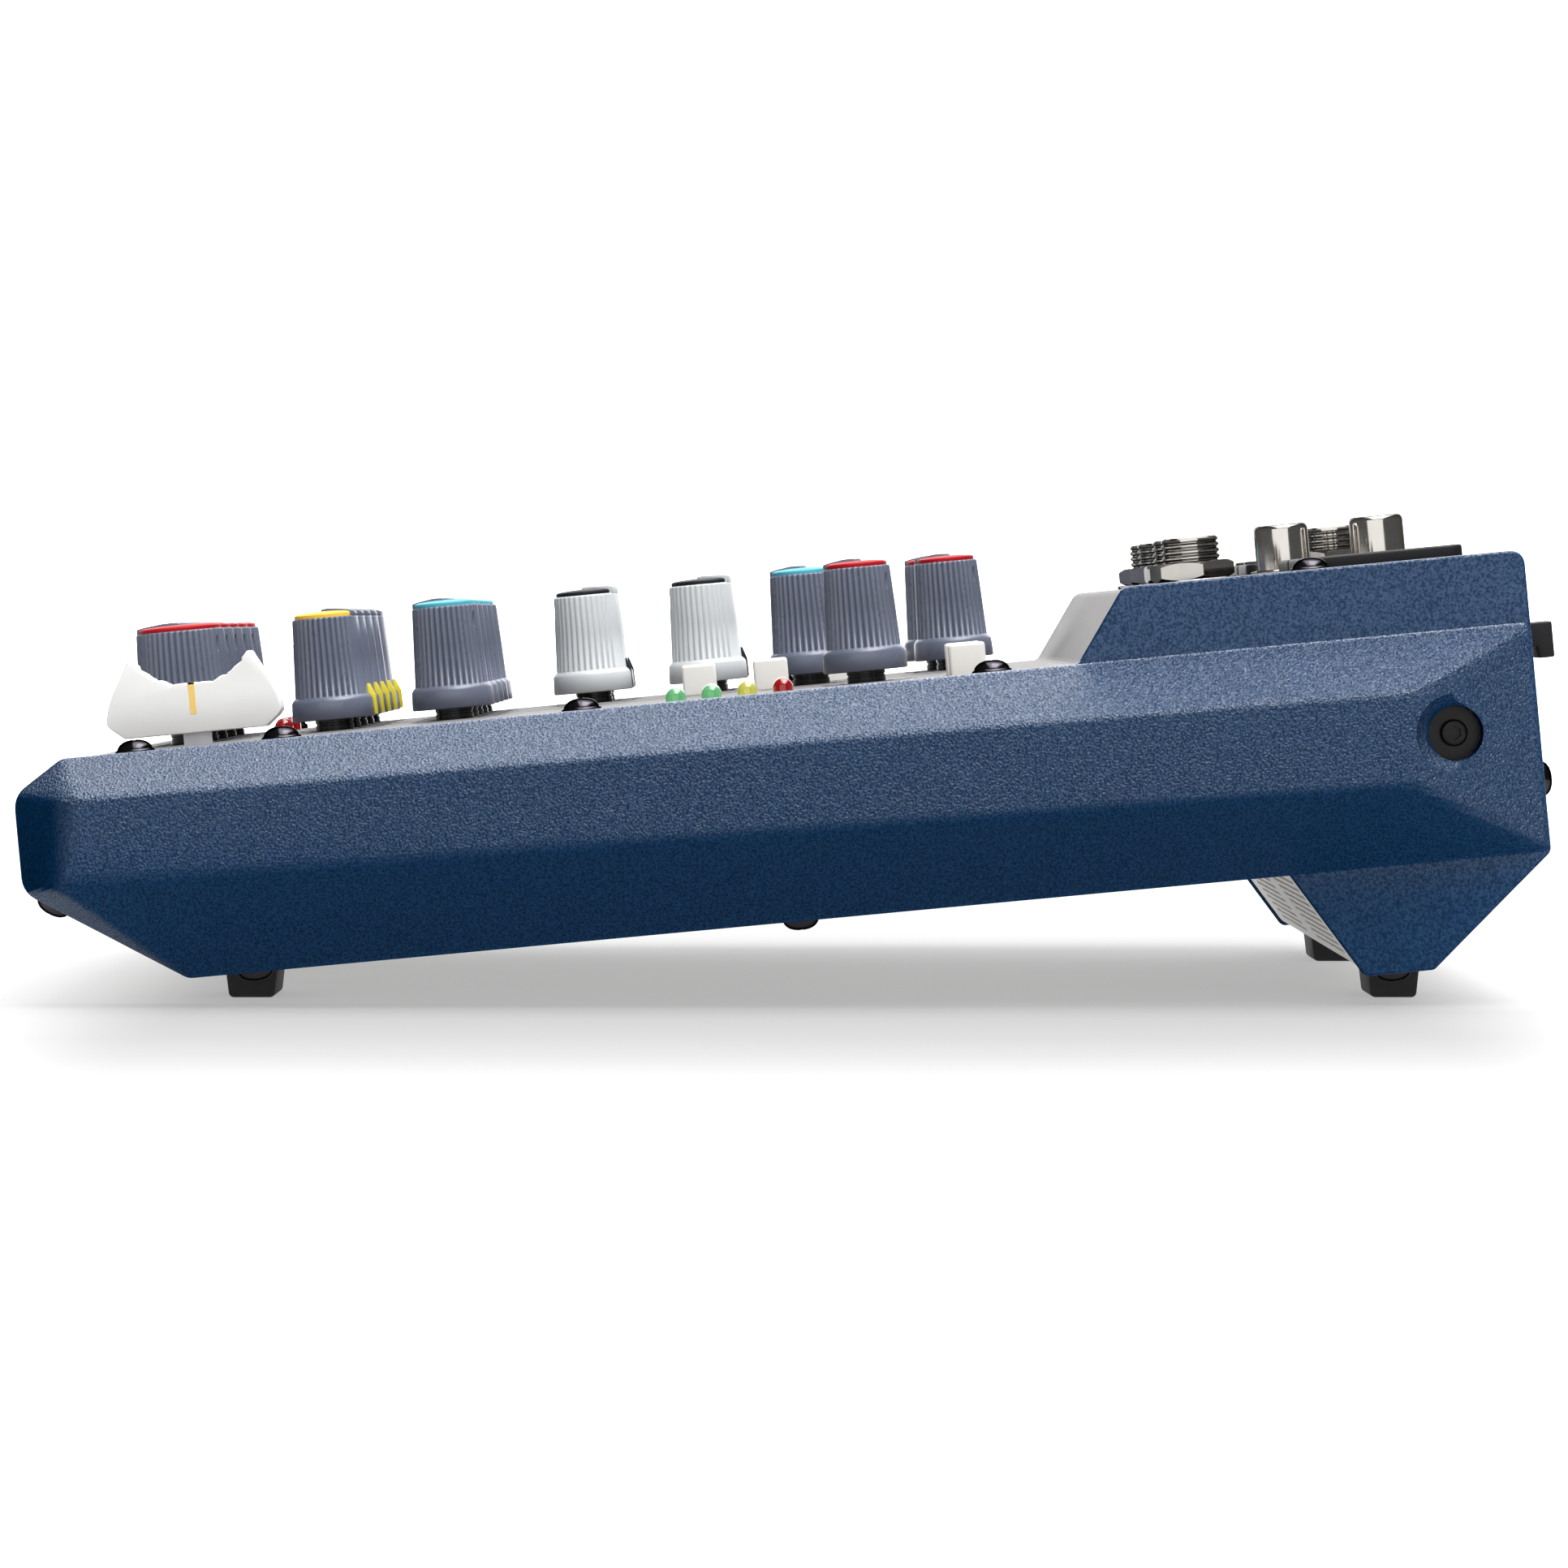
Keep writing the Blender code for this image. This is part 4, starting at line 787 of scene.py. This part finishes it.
for x0, x1, w0 in (
    (fader_high.x - 0.2 * MM, fader_high.x + proud, 3.0),
    (fader_low.x - proud, fader_low.x + 0.2 * MM, 3.0),
    (fader_low.x - proud, fader_high.x + proud, 7.7),
):
    corner = (x0, FADER_U - MARK_HALF, base_w + w0 * MM)
    bar(corner, (x1, FADER_U + MARK_HALF, base_w + 8.02 * MM), mark)
piece("fader_cap_mark", mark, "mark", "fader")


# Screws
def pan_head():
    rows = ((3.0, 0.0), (3.15, 0.1), (3.15, 0.6), (3.05, 0.75), (2.8, 0.9), (2.7, 1.2))
    rows += ((2.35, 1.65), (1.85, 2.0), (1.25, 2.22), (0.6, 2.33), (0.2, 2.35))
    head = lathe(in_mm(rows), 40)
    for x, y in in_mm(((0.95, 0.25), (0.25, 0.95))):
        cross = bar((-x, -y, 1.4 * MM), (x, y, 3.2 * MM))
        head = combined(head, cross, "DIFFERENCE")
    return head


PAN_HEAD = shared("pan_head", pan_head())


def screw(name, place):
    from_mesh(name, with_look(PAN_HEAD, "screw"), "screw", CONSOLE, place)


SCREW_X = 100.0 * MM
TOP_SCREWS = {
    "right": (
        (18.9, PANEL_TOP), (41.9, PANEL_TOP), (89.1, PANEL_TOP), (153.6, PANEL_TOP),
        (204.65, HUMP_TOP),
    ),
    "left": ((31.6, PANEL_TOP), (120.0, PANEL_TOP), (188.0, HUMP_TOP)),
}
BASE_SCREW_X = 95.0 * MM
BASE_SCREWS = ((34.1, 0.5 * MM), (120.2, 0.5 * MM), (212.2, 0.5 * MM - LEG_DROP))
CHAMFER_SCREW = (3.9 * MM, 13.6 * MM)
CHAMFER_TURN = math.atan2(15.7, 24.4)
UPSIDE = Matrix.Rotation(math.pi, 4, "X")
for side, sign in (("right", 1.0), ("left", -1.0)):
    for n, (u, w) in enumerate(TOP_SCREWS[side], 1):
        spot = Matrix.Translation((sign * SCREW_X, u * MM, w))
        screw("panel_screw_%s_%d" % (side, n), CASE @ spot)
    for n, (u, w) in enumerate(BASE_SCREWS, 1):
        spot = Matrix.Translation((sign * BASE_SCREW_X, u * MM, w))
        screw("base_screw_%s_%d" % (side, n), CASE @ spot @ UPSIDE)
    spot = Matrix.Translation((sign * BASE_SCREW_X, *CHAMFER_SCREW))
    screw("front_screw_" + side, CASE @ spot @ Matrix.Rotation(-CHAMFER_TURN, 4, "X") @ UPSIDE)
rear_face = case_span("rear_panel")[1].y
REAR_SCREWS = ((100.0, 11.2), (0.0, 38.0), (-100.0, 11.2))
for n, (x, w) in enumerate(REAR_SCREWS, 1):
    spot = Matrix.Translation((x * MM, rear_face, w * MM))
    screw("rear_screw_%d" % n, CASE @ spot @ Matrix.Rotation(math.radians(-90), 4, "X"))

# Feet
for node in sorted(n for n in frame["nodes"] if n.startswith("foot_")):
    copy = bmesh.new()
    copy.from_mesh(frame["nodes"][node].data)
    soften(copy, 0.7 * MM, 3, 20.0)
    pad = piece(node + "_pad", copy, "rubber", CONSOLE, Matrix())
    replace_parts(pad, node)

# Jack sockets
JACK_R = 4.6
JACK_BORE_R = 3.3
RISE = 7.3
THREAD = 0.95
THREAD_DEPTH = 0.38


def jack_nose():
    """Threaded bushing with a plain chamfered end."""
    root = JACK_R - THREAD_DEPTH
    outer = [(root, -1.4)]
    turns = int((RISE + 0.5) / THREAD)
    for n in range(turns):
        z = RISE - 0.85 - THREAD * (turns - n)
        outer += [(root, z), (JACK_R, z + 0.36), (JACK_R, z + 0.56), (root, z + 0.88)]
    outer += [(root, RISE - 0.85), (JACK_R - 0.05, RISE - 0.6)]
    outer += [(JACK_R - 0.1, RISE - 0.3), (JACK_R - 0.5, RISE)]
    inner = [(JACK_BORE_R + 0.45, RISE), (JACK_BORE_R, RISE - 0.5), (JACK_BORE_R, -1.4)]
    return tube(in_mm(outer + inner), 56)


def hex_nut(across, height, hole):
    corner = across / math.sqrt(3.0)
    prism = loft([circle(corner * MM, 0.0, 6), circle(corner * MM, height * MM, 6)])
    flat = across / 2 * 0.98
    cone = [(flat, -0.01), (corner, 0.55), (corner, height - 0.55), (flat, height + 0.01)]
    prism = combined(prism, lathe(in_mm(cone), 60), "INTERSECT")
    drill = lathe(in_mm(((hole, -1.0), (hole, height + 1.0))), 48)
    return combined(prism, drill, "DIFFERENCE")


def jack_body(low, high):
    box = soften(bar(low, high), 0.4 * MM, 2)
    mid = (low + high) / 2
    radius = JACK_BORE_R * MM
    rows = ((radius, low.z + 1.5 * MM), (radius, high.z + 1.0 * MM))
    drill = lathe(rows, 40, (mid.x, mid.y, 0.0))
    return combined(box, drill, "DIFFERENCE")


NOSE = shared("jack_nose", jack_nose())
NUT = shared("jack_nut", hex_nut(12.0, 2.8, JACK_R))
washer_ring = ((4.6, 0.0), (7.1, 0.0), (7.25, 0.15), (7.25, 0.45), (7.1, 0.58), (4.6, 0.58))
WASHER = shared("jack_washer", tube(in_mm(washer_ring), 60))
WASHER_LIFT = Matrix.Translation((0, 0, 0.03 * MM))
NUT_LIFT = Matrix.Translation((0, 0, 0.6 * MM))
HOUSING_HALF = Vector((5.5 * MM, 7.0 * MM))
jacks = [n for n in sorted(frame["nodes"]) if n.startswith("jack_") and n != "jack_board"]
for turn, node in enumerate(jacks):
    mid = case_centre(node)
    floor_w = case_span(node)[0].z
    spot = CASE @ Matrix.Translation((mid.x, mid.y, HUMP_TOP))
    aimed = spot @ Matrix.Rotation(math.radians(17.0 * turn + 38.0), 4, "Z")
    nose = from_mesh(node + "_nose", with_look(NOSE, "nickel"), "nickel", CONSOLE, spot)
    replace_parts(nose, node)
    for name, mesh, place, smooth in (
        ("_washer", WASHER, spot @ WASHER_LIFT, 35.0),
        ("_nut", NUT, aimed @ NUT_LIFT, 12.0),
    ):
        mesh = with_look(mesh, "nickel")
        from_mesh(node + name, mesh, "nickel", CONSOLE, place, smooth)
    low, high = mid.xy - HOUSING_HALF, mid.xy + HOUSING_HALF
    body = jack_body(Vector((*low, floor_w)), Vector((*high, HUMP_TOP - 1.5 * MM)))
    piece(node + "_housing", body, "black", CONSOLE)

# Three-pin connectors
FLANGE_H = 2.2
FLANGE_CORNER = 2.2
FLANGE_HOLE_INSET = 3.3
FLANGE_LIFT = 0.1
FLANGE_FACE = HUMP_TOP + (FLANGE_LIFT + FLANGE_H) * MM
# Turned shapes as (radius, height above the hump) in millimetres
SHANK = ((10.5, -19.0), (10.5, 1.0))
WELL = ((7.8, -17.0), (7.8, 2.0), (8.4, 2.6))
PIN = ((1.2, -17.2), (1.2, -5.2), (0.8, -4.3), (0.3, -4.0))
PIN_SPOTS = ((-3.5, 0.0), (3.5, 0.0), (0.0, -3.5))
GROOVE = ((8.9, 1.3), (9.6, 1.3), (9.6, 3.5), (8.9, 3.5))
JACK_DRILL = ((3.3, -17.0), (3.3, 2.0), (3.9, 2.7))
CONTACT_HOLE = ((1.3, -12.0), (1.3, 2.2), (1.6, 2.7))
CONTACT_RING = 6.3 * MM
LATCH_HALF = 2.6 * MM
# And as heights above the face of the flange
SINK = ((1.4, -1.6), (1.4, -0.9), (2.3, 0.1))
FLANGE_SCREW = ((1.1, -1.4), (1.2, -0.9), (2.0, -0.12), (1.9, -0.02), (0.7, 0.0), (0.6, -0.5))


def flange_mesh(mid, half):
    x, y = half.xy
    outline = rounded(((-x, -y), (x, -y), (x, y), (-x, y)), FLANGE_CORNER * MM, 8)
    outline = [(mid.x + a, mid.y + b) for a, b in outline]
    plate = slab(outline, "z", HUMP_TOP + FLANGE_LIFT * MM, FLANGE_FACE)
    soften(plate, 0.45 * MM, 3, 40.0)
    shank = lathe(in_mm(SHANK), 48, (mid.x, mid.y, HUMP_TOP))
    return combined(plate, shank, "UNION")


for node in ("output_right", "output_left", "input_1", "input_2"):
    low, high = case_span(node)
    mid = (low + high) / 2
    half = (high - low) / 2
    spot = (mid.x, mid.y, HUMP_TOP)
    shell = flange_mesh(mid, half)
    inset = half.xy - Vector((FLANGE_HOLE_INSET, FLANGE_HOLE_INSET)) * MM
    corners = [(*(mid.xy + sign * inset), FLANGE_FACE) for sign in (-1.0, 1.0)]
    for corner in corners:
        shell = combined(shell, lathe(in_mm(SINK), 24, corner), "DIFFERENCE")
    if node.startswith("output"):
        shell = combined(shell, lathe(in_mm(WELL), 56, spot), "DIFFERENCE")
        pins = bmesh.new()
        for dx, du in in_mm(PIN_SPOTS):
            lathe(in_mm(PIN), 20, (mid.x + dx, mid.y + du, HUMP_TOP), pins)
        piece(node + "_pins", pins, "gold", CONSOLE)
    else:
        shell = combined(shell, tube(in_mm(GROOVE), 56, spot), "DIFFERENCE")
        shell = combined(shell, lathe(in_mm(JACK_DRILL), 40, spot), "DIFFERENCE")
        for angle in (0.0, 180.0, 270.0):
            a = math.radians(angle)
            aside = Vector((math.cos(a), math.sin(a))) * CONTACT_RING
            hole = lathe(in_mm(CONTACT_HOLE), 20, (*(mid.xy + aside), HUMP_TOP))
            shell = combined(shell, hole, "DIFFERENCE")
        tab_end = low.y + 0.5 * MM
        tab = bar(
            (mid.x - LATCH_HALF, tab_end, FLANGE_FACE - 0.4 * MM),
            (mid.x + LATCH_HALF, tab_end + LATCH_HALF, FLANGE_FACE + 0.5 * MM),
        )
        soften(tab, 0.35 * MM, 3)
        piece(node + "_latch", tab, "black", CONSOLE)
    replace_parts(piece(node + "_shell", shell, "black", CONSOLE), node)
    heads = bmesh.new()
    for corner in corners:
        lathe(in_mm(FLANGE_SCREW), 28, corner, heads)
    piece(node + "_screws", heads, "screw", CONSOLE)

# Phono pair
low, high = case_span("phono_pair")
phono_x = (low.x + high.x) / 2
PHONO_STEP = 15.8 * MM
phono_mid = (low.y + high.y) / 2
PHONO = ((phono_mid - PHONO_STEP / 2, "white"), (phono_mid + PHONO_STEP / 2, "red"))
PHONO_SHELL = (
    (3.8, -1.4), (5.4, -1.4), (5.4, 0.0), (5.5, 0.15), (5.5, 0.7), (5.3, 0.9), (4.5, 0.95),
    (4.5, 7.35), (4.47, 7.6), (4.37, 7.87), (4.2, 8.1), (3.98, 8.24), (3.75, 8.3), (3.62, 8.2),
    (3.6, 7.9),
)
PHONO_CORE = ((1.6, 0.5), (3.55, 0.5), (3.55, 7.3), (3.4, 7.5), (1.8, 7.5), (1.6, 7.3))
shells = bmesh.new()
for u, look in PHONO:
    spot = (phono_x, u, HUMP_TOP)
    tube(in_mm(PHONO_SHELL), 56, spot, shells)
    core = tube(in_mm(PHONO_CORE), 40, spot)
    piece("phono_insulator_" + look, core, look, CONSOLE)
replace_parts(piece("phono_shells", shells, "nickel", CONSOLE), "phono_pair")
block = soften(bar((low.x, low.y, low.z), (high.x, high.y, HUMP_TOP - 2.7 * MM)), 0.4 * MM, 2)
piece("phono_block", block, "black", CONSOLE)

# Lamps
LAMP_R = 1.6
meter_mid = case_centre("meter_lamps") / MM
METER_STEP = 5.7
METER_HALF = 4.0
METER_US = [meter_mid.y + METER_STEP * (n - 1.5) for n in range(4)]
METER_XS = (meter_mid.x - METER_HALF, meter_mid.x + METER_HALF)
PEAK_SHIFT = 8.5
PEAK_U = 32.75
METER_LOOKS = ("lamp_green", "lamp_green", "lamp_yellow", "lamp_red")
LAMP_WALL = 0.9
dome = [(LAMP_R, -2.4), (LAMP_R, LAMP_WALL)]
for angle in (15, 30, 45, 60, 75, 86):
    a = math.radians(angle)
    dome.append((LAMP_R * math.cos(a), LAMP_WALL + LAMP_R * math.sin(a)))
DOME = shared("lamp_dome", lathe(in_mm(dome), 32))


def lamp(name, x, u, look):
    spot = CASE @ Matrix.Translation((x * MM, u * MM, PANEL_TOP))
    return from_mesh(name, with_look(DOME, look), look, CONSOLE, spot, 60.0)


for column, x in enumerate(METER_XS, 1):
    for row, (u, look) in enumerate(zip(METER_US, METER_LOOKS), 1):
        made = lamp("meter_lamp_%d_%d" % (column, row), x, u, look)
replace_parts(made, "meter_lamps")
pan_knobs = [n for n in joint_of if n.startswith("pan_knob")]
knob_xs = sorted({round(joint_of[n]["pos_m"][0] / MM, 3) for n in pan_knobs})
for n, x in enumerate(knob_xs[:2], 1):
    lamp("peak_lamp_%d" % n, x + PEAK_SHIFT, PEAK_U, "lamp_red")

# Prints on the panel: dial ticks, strip lines and the fader scale
PRINT_LOW = PANEL_TOP + 0.01 * MM
PRINT_HIGH = PANEL_TOP + 0.04 * MM
TICKS = 11
TICK_SPAN = 150.0
LINE_HALF = 0.2 * MM
SCALE_HALF = 0.15 * MM
SCALE_GAP = 2.6
STRIP_ENDS = (14.0 * MM, 158.0 * MM)


def dial_ticks(bm, spot, inner, outer):
    for n in range(TICKS):
        angle = math.radians(TICK_SPAN * (2.0 * n / (TICKS - 1) - 1.0))
        along = Vector((math.sin(angle), math.cos(angle)))
        aside = Vector((along.y, -along.x)) * LINE_HALF
        near, far = along * inner, along * outer
        ends = (near - aside, far - aside, far + aside, near + aside)
        slab([(spot.x + e.x, spot.y + e.y) for e in ends], "z", PRINT_LOW, PRINT_HIGH, bm)


ticks = bmesh.new()
for stem_name, size, *_ in KNOB_STYLES:
    for node in sorted(n for n in frame["nodes"] if n.startswith(stem_name)):
        skirt = SIZES[size][0]
        spot = CASE.inverted() @ Vector(joint_of[node]["pos_m"])
        dial_ticks(ticks, spot, (skirt + 0.5) * MM, (skirt + 1.5) * MM)
piece("panel_dial_ticks", ticks, "print", CONSOLE)
track_low, track_high = case_span("fader_track")
scale = bmesh.new()
for n in range(TICKS):
    u = mix(track_low.y + 4.0 * MM, track_high.y - 4.0 * MM, n / (TICKS - 1))
    long = 3.4 if n % 5 == 0 else 2.2
    for sign in (-1.0, 1.0):
        ends = sorted(FADER_X + sign * gap * MM for gap in (SCALE_GAP, SCALE_GAP + long))
        bar((ends[0], u - SCALE_HALF, PRINT_LOW), (ends[1], u + SCALE_HALF, PRINT_HIGH), scale)
piece("panel_fader_scale", scale, "print", CONSOLE)
lines = bmesh.new()
for a, b in zip(knob_xs[:-1], knob_xs[1:]):
    x = (a + b) / 2 * MM
    start = (x - LINE_HALF, STRIP_ENDS[0], PRINT_LOW)
    bar(start, (x + LINE_HALF, STRIP_ENDS[1], PRINT_HIGH), lines)
piece("panel_strip_lines", lines, "print", CONSOLE)

# Rear hook
copy = bmesh.new()
copy.from_mesh(frame["nodes"]["cable_hook"].data)
soften(copy, 0.35 * MM, 3, 40.0)
hook = piece("cable_hook_moulding", copy, "black", CONSOLE, Matrix())
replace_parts(hook, "cable_hook")

# CAD nodes that stay, with their finish
KEPT = {
    "top_panel": "panel", "rear_panel": "panel", "base_pan": "pan", "main_board": "board",
    "jack_board": "board", "fader_track": "steel", "fader_lever": "lever", "dc_inlet": "black",
    "usb_socket": "steel",
}
for node, look in KEPT.items():
    mesh = frame["nodes"][node].data
    mesh.materials.clear()
    mesh.materials.append(LOOK[look])


# Stage
def stage_sheet(name, size, place, paint):
    bm = bmesh.new()
    bmesh.ops.create_grid(bm, x_segments=1, y_segments=1, size=0.5)
    bmesh.ops.scale(bm, verts=bm.verts, vec=(*size, 1.0))
    mesh = bpy.data.meshes.new(name)
    bm.to_mesh(mesh)
    bm.free()
    mesh.materials.append(paint.mat)
    obj = bpy.data.objects.new(name, mesh)
    obj.matrix_world = place
    bpy.context.scene.collection.objects.link(obj)


def stage_paint(name, tone):
    """Matt white that can also glow."""
    paint = Surface(name)
    paint.colour(paint.noise(3.0), (tone - 0.01,) * 3, (tone + 0.01,) * 3)
    paint.rough(paint.noise(20.0), 0.85, 0.95)
    paint.shader.inputs["Emission Color"].default_value = (1.0, 1.0, 1.0, 1.0)
    return paint


FLOOR_AT = 0.2  # X of the floor's middle
# Painted shadow: glow that is low under the console and rises with distance from it
GLOW_MIDDLE = (0.02 - FLOOR_AT, 0.0, 0.0)
GLOW_SPREAD = (0.42, 0.6, 1.0)
GLOW_RISE = ((0.1, 1.3), (0.36, 0.8))
# Painted shadow in front of the console: the glow's dip, as share of the way and level
FLOOR_SHADOW_DIP = ((0.12, 0.62), (0.44, 0.6), (0.62, 0.7), (0.8, 0.86))
SHADOW_DIP_FROM = (0.10 - FLOOR_AT, 0.35 - FLOOR_AT)
# More glow beyond the ends of the console, and less far to the sides, but not far behind
ENDS_MORE = ((0.09, 0.126), (0.0, 0.36))
SIDES_LESS = ((0.135, 0.42), (1.0, 0.5))
BEHIND = (-0.15 - FLOOR_AT, -0.40 - FLOOR_AT)


# Floor glow that leaves a painted shadow under and in front of the console
def floor_glow_and_shadow(paint):
    squeeze = paint.node("ShaderNodeMapping")
    squeeze.vector_type = "TEXTURE"
    squeeze.inputs["Location"].default_value = GLOW_MIDDLE
    squeeze.inputs["Scale"].default_value = GLOW_SPREAD
    paint.link(paint.coord, squeeze.inputs["Vector"])
    reach = paint.node("ShaderNodeVectorMath", operation="LENGTH")
    paint.link(squeeze.outputs["Vector"], reach.inputs[0])
    place = paint.axes(paint.coord)
    aside = paint.math("ABSOLUTE", place["Y"])

    def smooth(value, *spans):
        return paint.mapped(value, *spans, kind="SMOOTHSTEP").outputs["Result"]

    fore = paint.mapped(place["X"], SHADOW_DIP_FROM)
    dip = paint.node("ShaderNodeValToRGB")
    dip.color_ramp.elements[0].color = (1.0,) * 4
    dip.color_ramp.elements[1].color = (1.0,) * 4
    for at, level in FLOOR_SHADOW_DIP:
        dip.color_ramp.elements.new(at).color = (level, level, level, 1.0)
    paint.link(fore.outputs["Result"], dip.inputs["Fac"])
    rise = smooth(reach.outputs["Value"], *GLOW_RISE)
    dipped = paint.math("MULTIPLY", rise, dip.outputs["Color"])
    lit = paint.math("ADD", dipped, smooth(aside, *ENDS_MORE))
    wide = paint.math("MAXIMUM", smooth(aside, *SIDES_LESS), smooth(place["X"], BEHIND))
    glow = paint.math("MULTIPLY", lit, wide)
    paint.link(glow, paint.shader.inputs["Emission Strength"])


BACK_AT = Vector((-1.1, 0.1, 0.6))
BACK_GLOW = 1.5
floor_paint = stage_paint("floor_paint", 0.18)
floor_glow_and_shadow(floor_paint)
stage_sheet("floor", (2.6, 1.8), Matrix.Translation((FLOOR_AT, 0.0, 0.0)), floor_paint)
back_paint = stage_paint("back_paint", 0.9)
back_paint.shader.inputs["Emission Strength"].default_value = BACK_GLOW
upright = Matrix.Rotation(math.radians(90), 4, "Y")
stage_sheet("backdrop", (1.2, 1.4), Matrix.Translation(BACK_AT) @ upright, back_paint)

scene = bpy.context.scene
scene.view_settings.view_transform = "Standard"
world = bpy.data.worlds.new("studio")
world.use_nodes = True
sky = world.node_tree.nodes["Background"].inputs
sky["Color"].default_value = (1.0, 1.0, 1.0, 1.0)
sky["Strength"].default_value = 0.10
scene.world = world


def softbox(name, place, aim, size, power):
    light = bpy.data.lights.new(name, "AREA")
    light.shape = "RECTANGLE"
    light.size, light.size_y = size
    light.energy = power
    obj = bpy.data.objects.new(name, light)
    obj.location = place
    obj.rotation_euler = (Vector(aim) - Vector(place)).to_track_quat("-Z", "Y").to_euler()
    scene.collection.objects.link(obj)


softbox("top_light", (-0.40, 0.25, 1.2), (-0.40, 0.25, 0.0), (1.6, 1.2), 6.0)
softbox("ridge_light", (0.15, 0.16, 0.9), (0.15, 0.16, 0.0), (1.5, 0.85), 14.5)
softbox("brow_light", (0.32, 0.2, 0.88), (0.3, 0.2, 0.0), (0.45, 0.8), 7.2)
softbox("fill_light", (1.75, -0.25, 0.5), (0.1, -0.25, 0.06), (2.4, 1.05), 9.0)

# Camera at the photo's place: far off to the right, a hand's breadth above the floor
CAMERA_AT = Vector((1.398, -0.00225, 0.0605))
CAMERA_AIM = Vector((0.108, -0.00085, 0.0345))
FOCAL_LENGTH = 190.4
camera_data = bpy.data.cameras.new("camera")
camera_data.lens = FOCAL_LENGTH
camera_data.sensor_width = 36.0
camera = bpy.data.objects.new("camera", camera_data)
camera.location = CAMERA_AT
camera.rotation_euler = (CAMERA_AIM - CAMERA_AT).to_track_quat("-Z", "Y").to_euler()
scene.collection.objects.link(camera)
scene.camera = camera
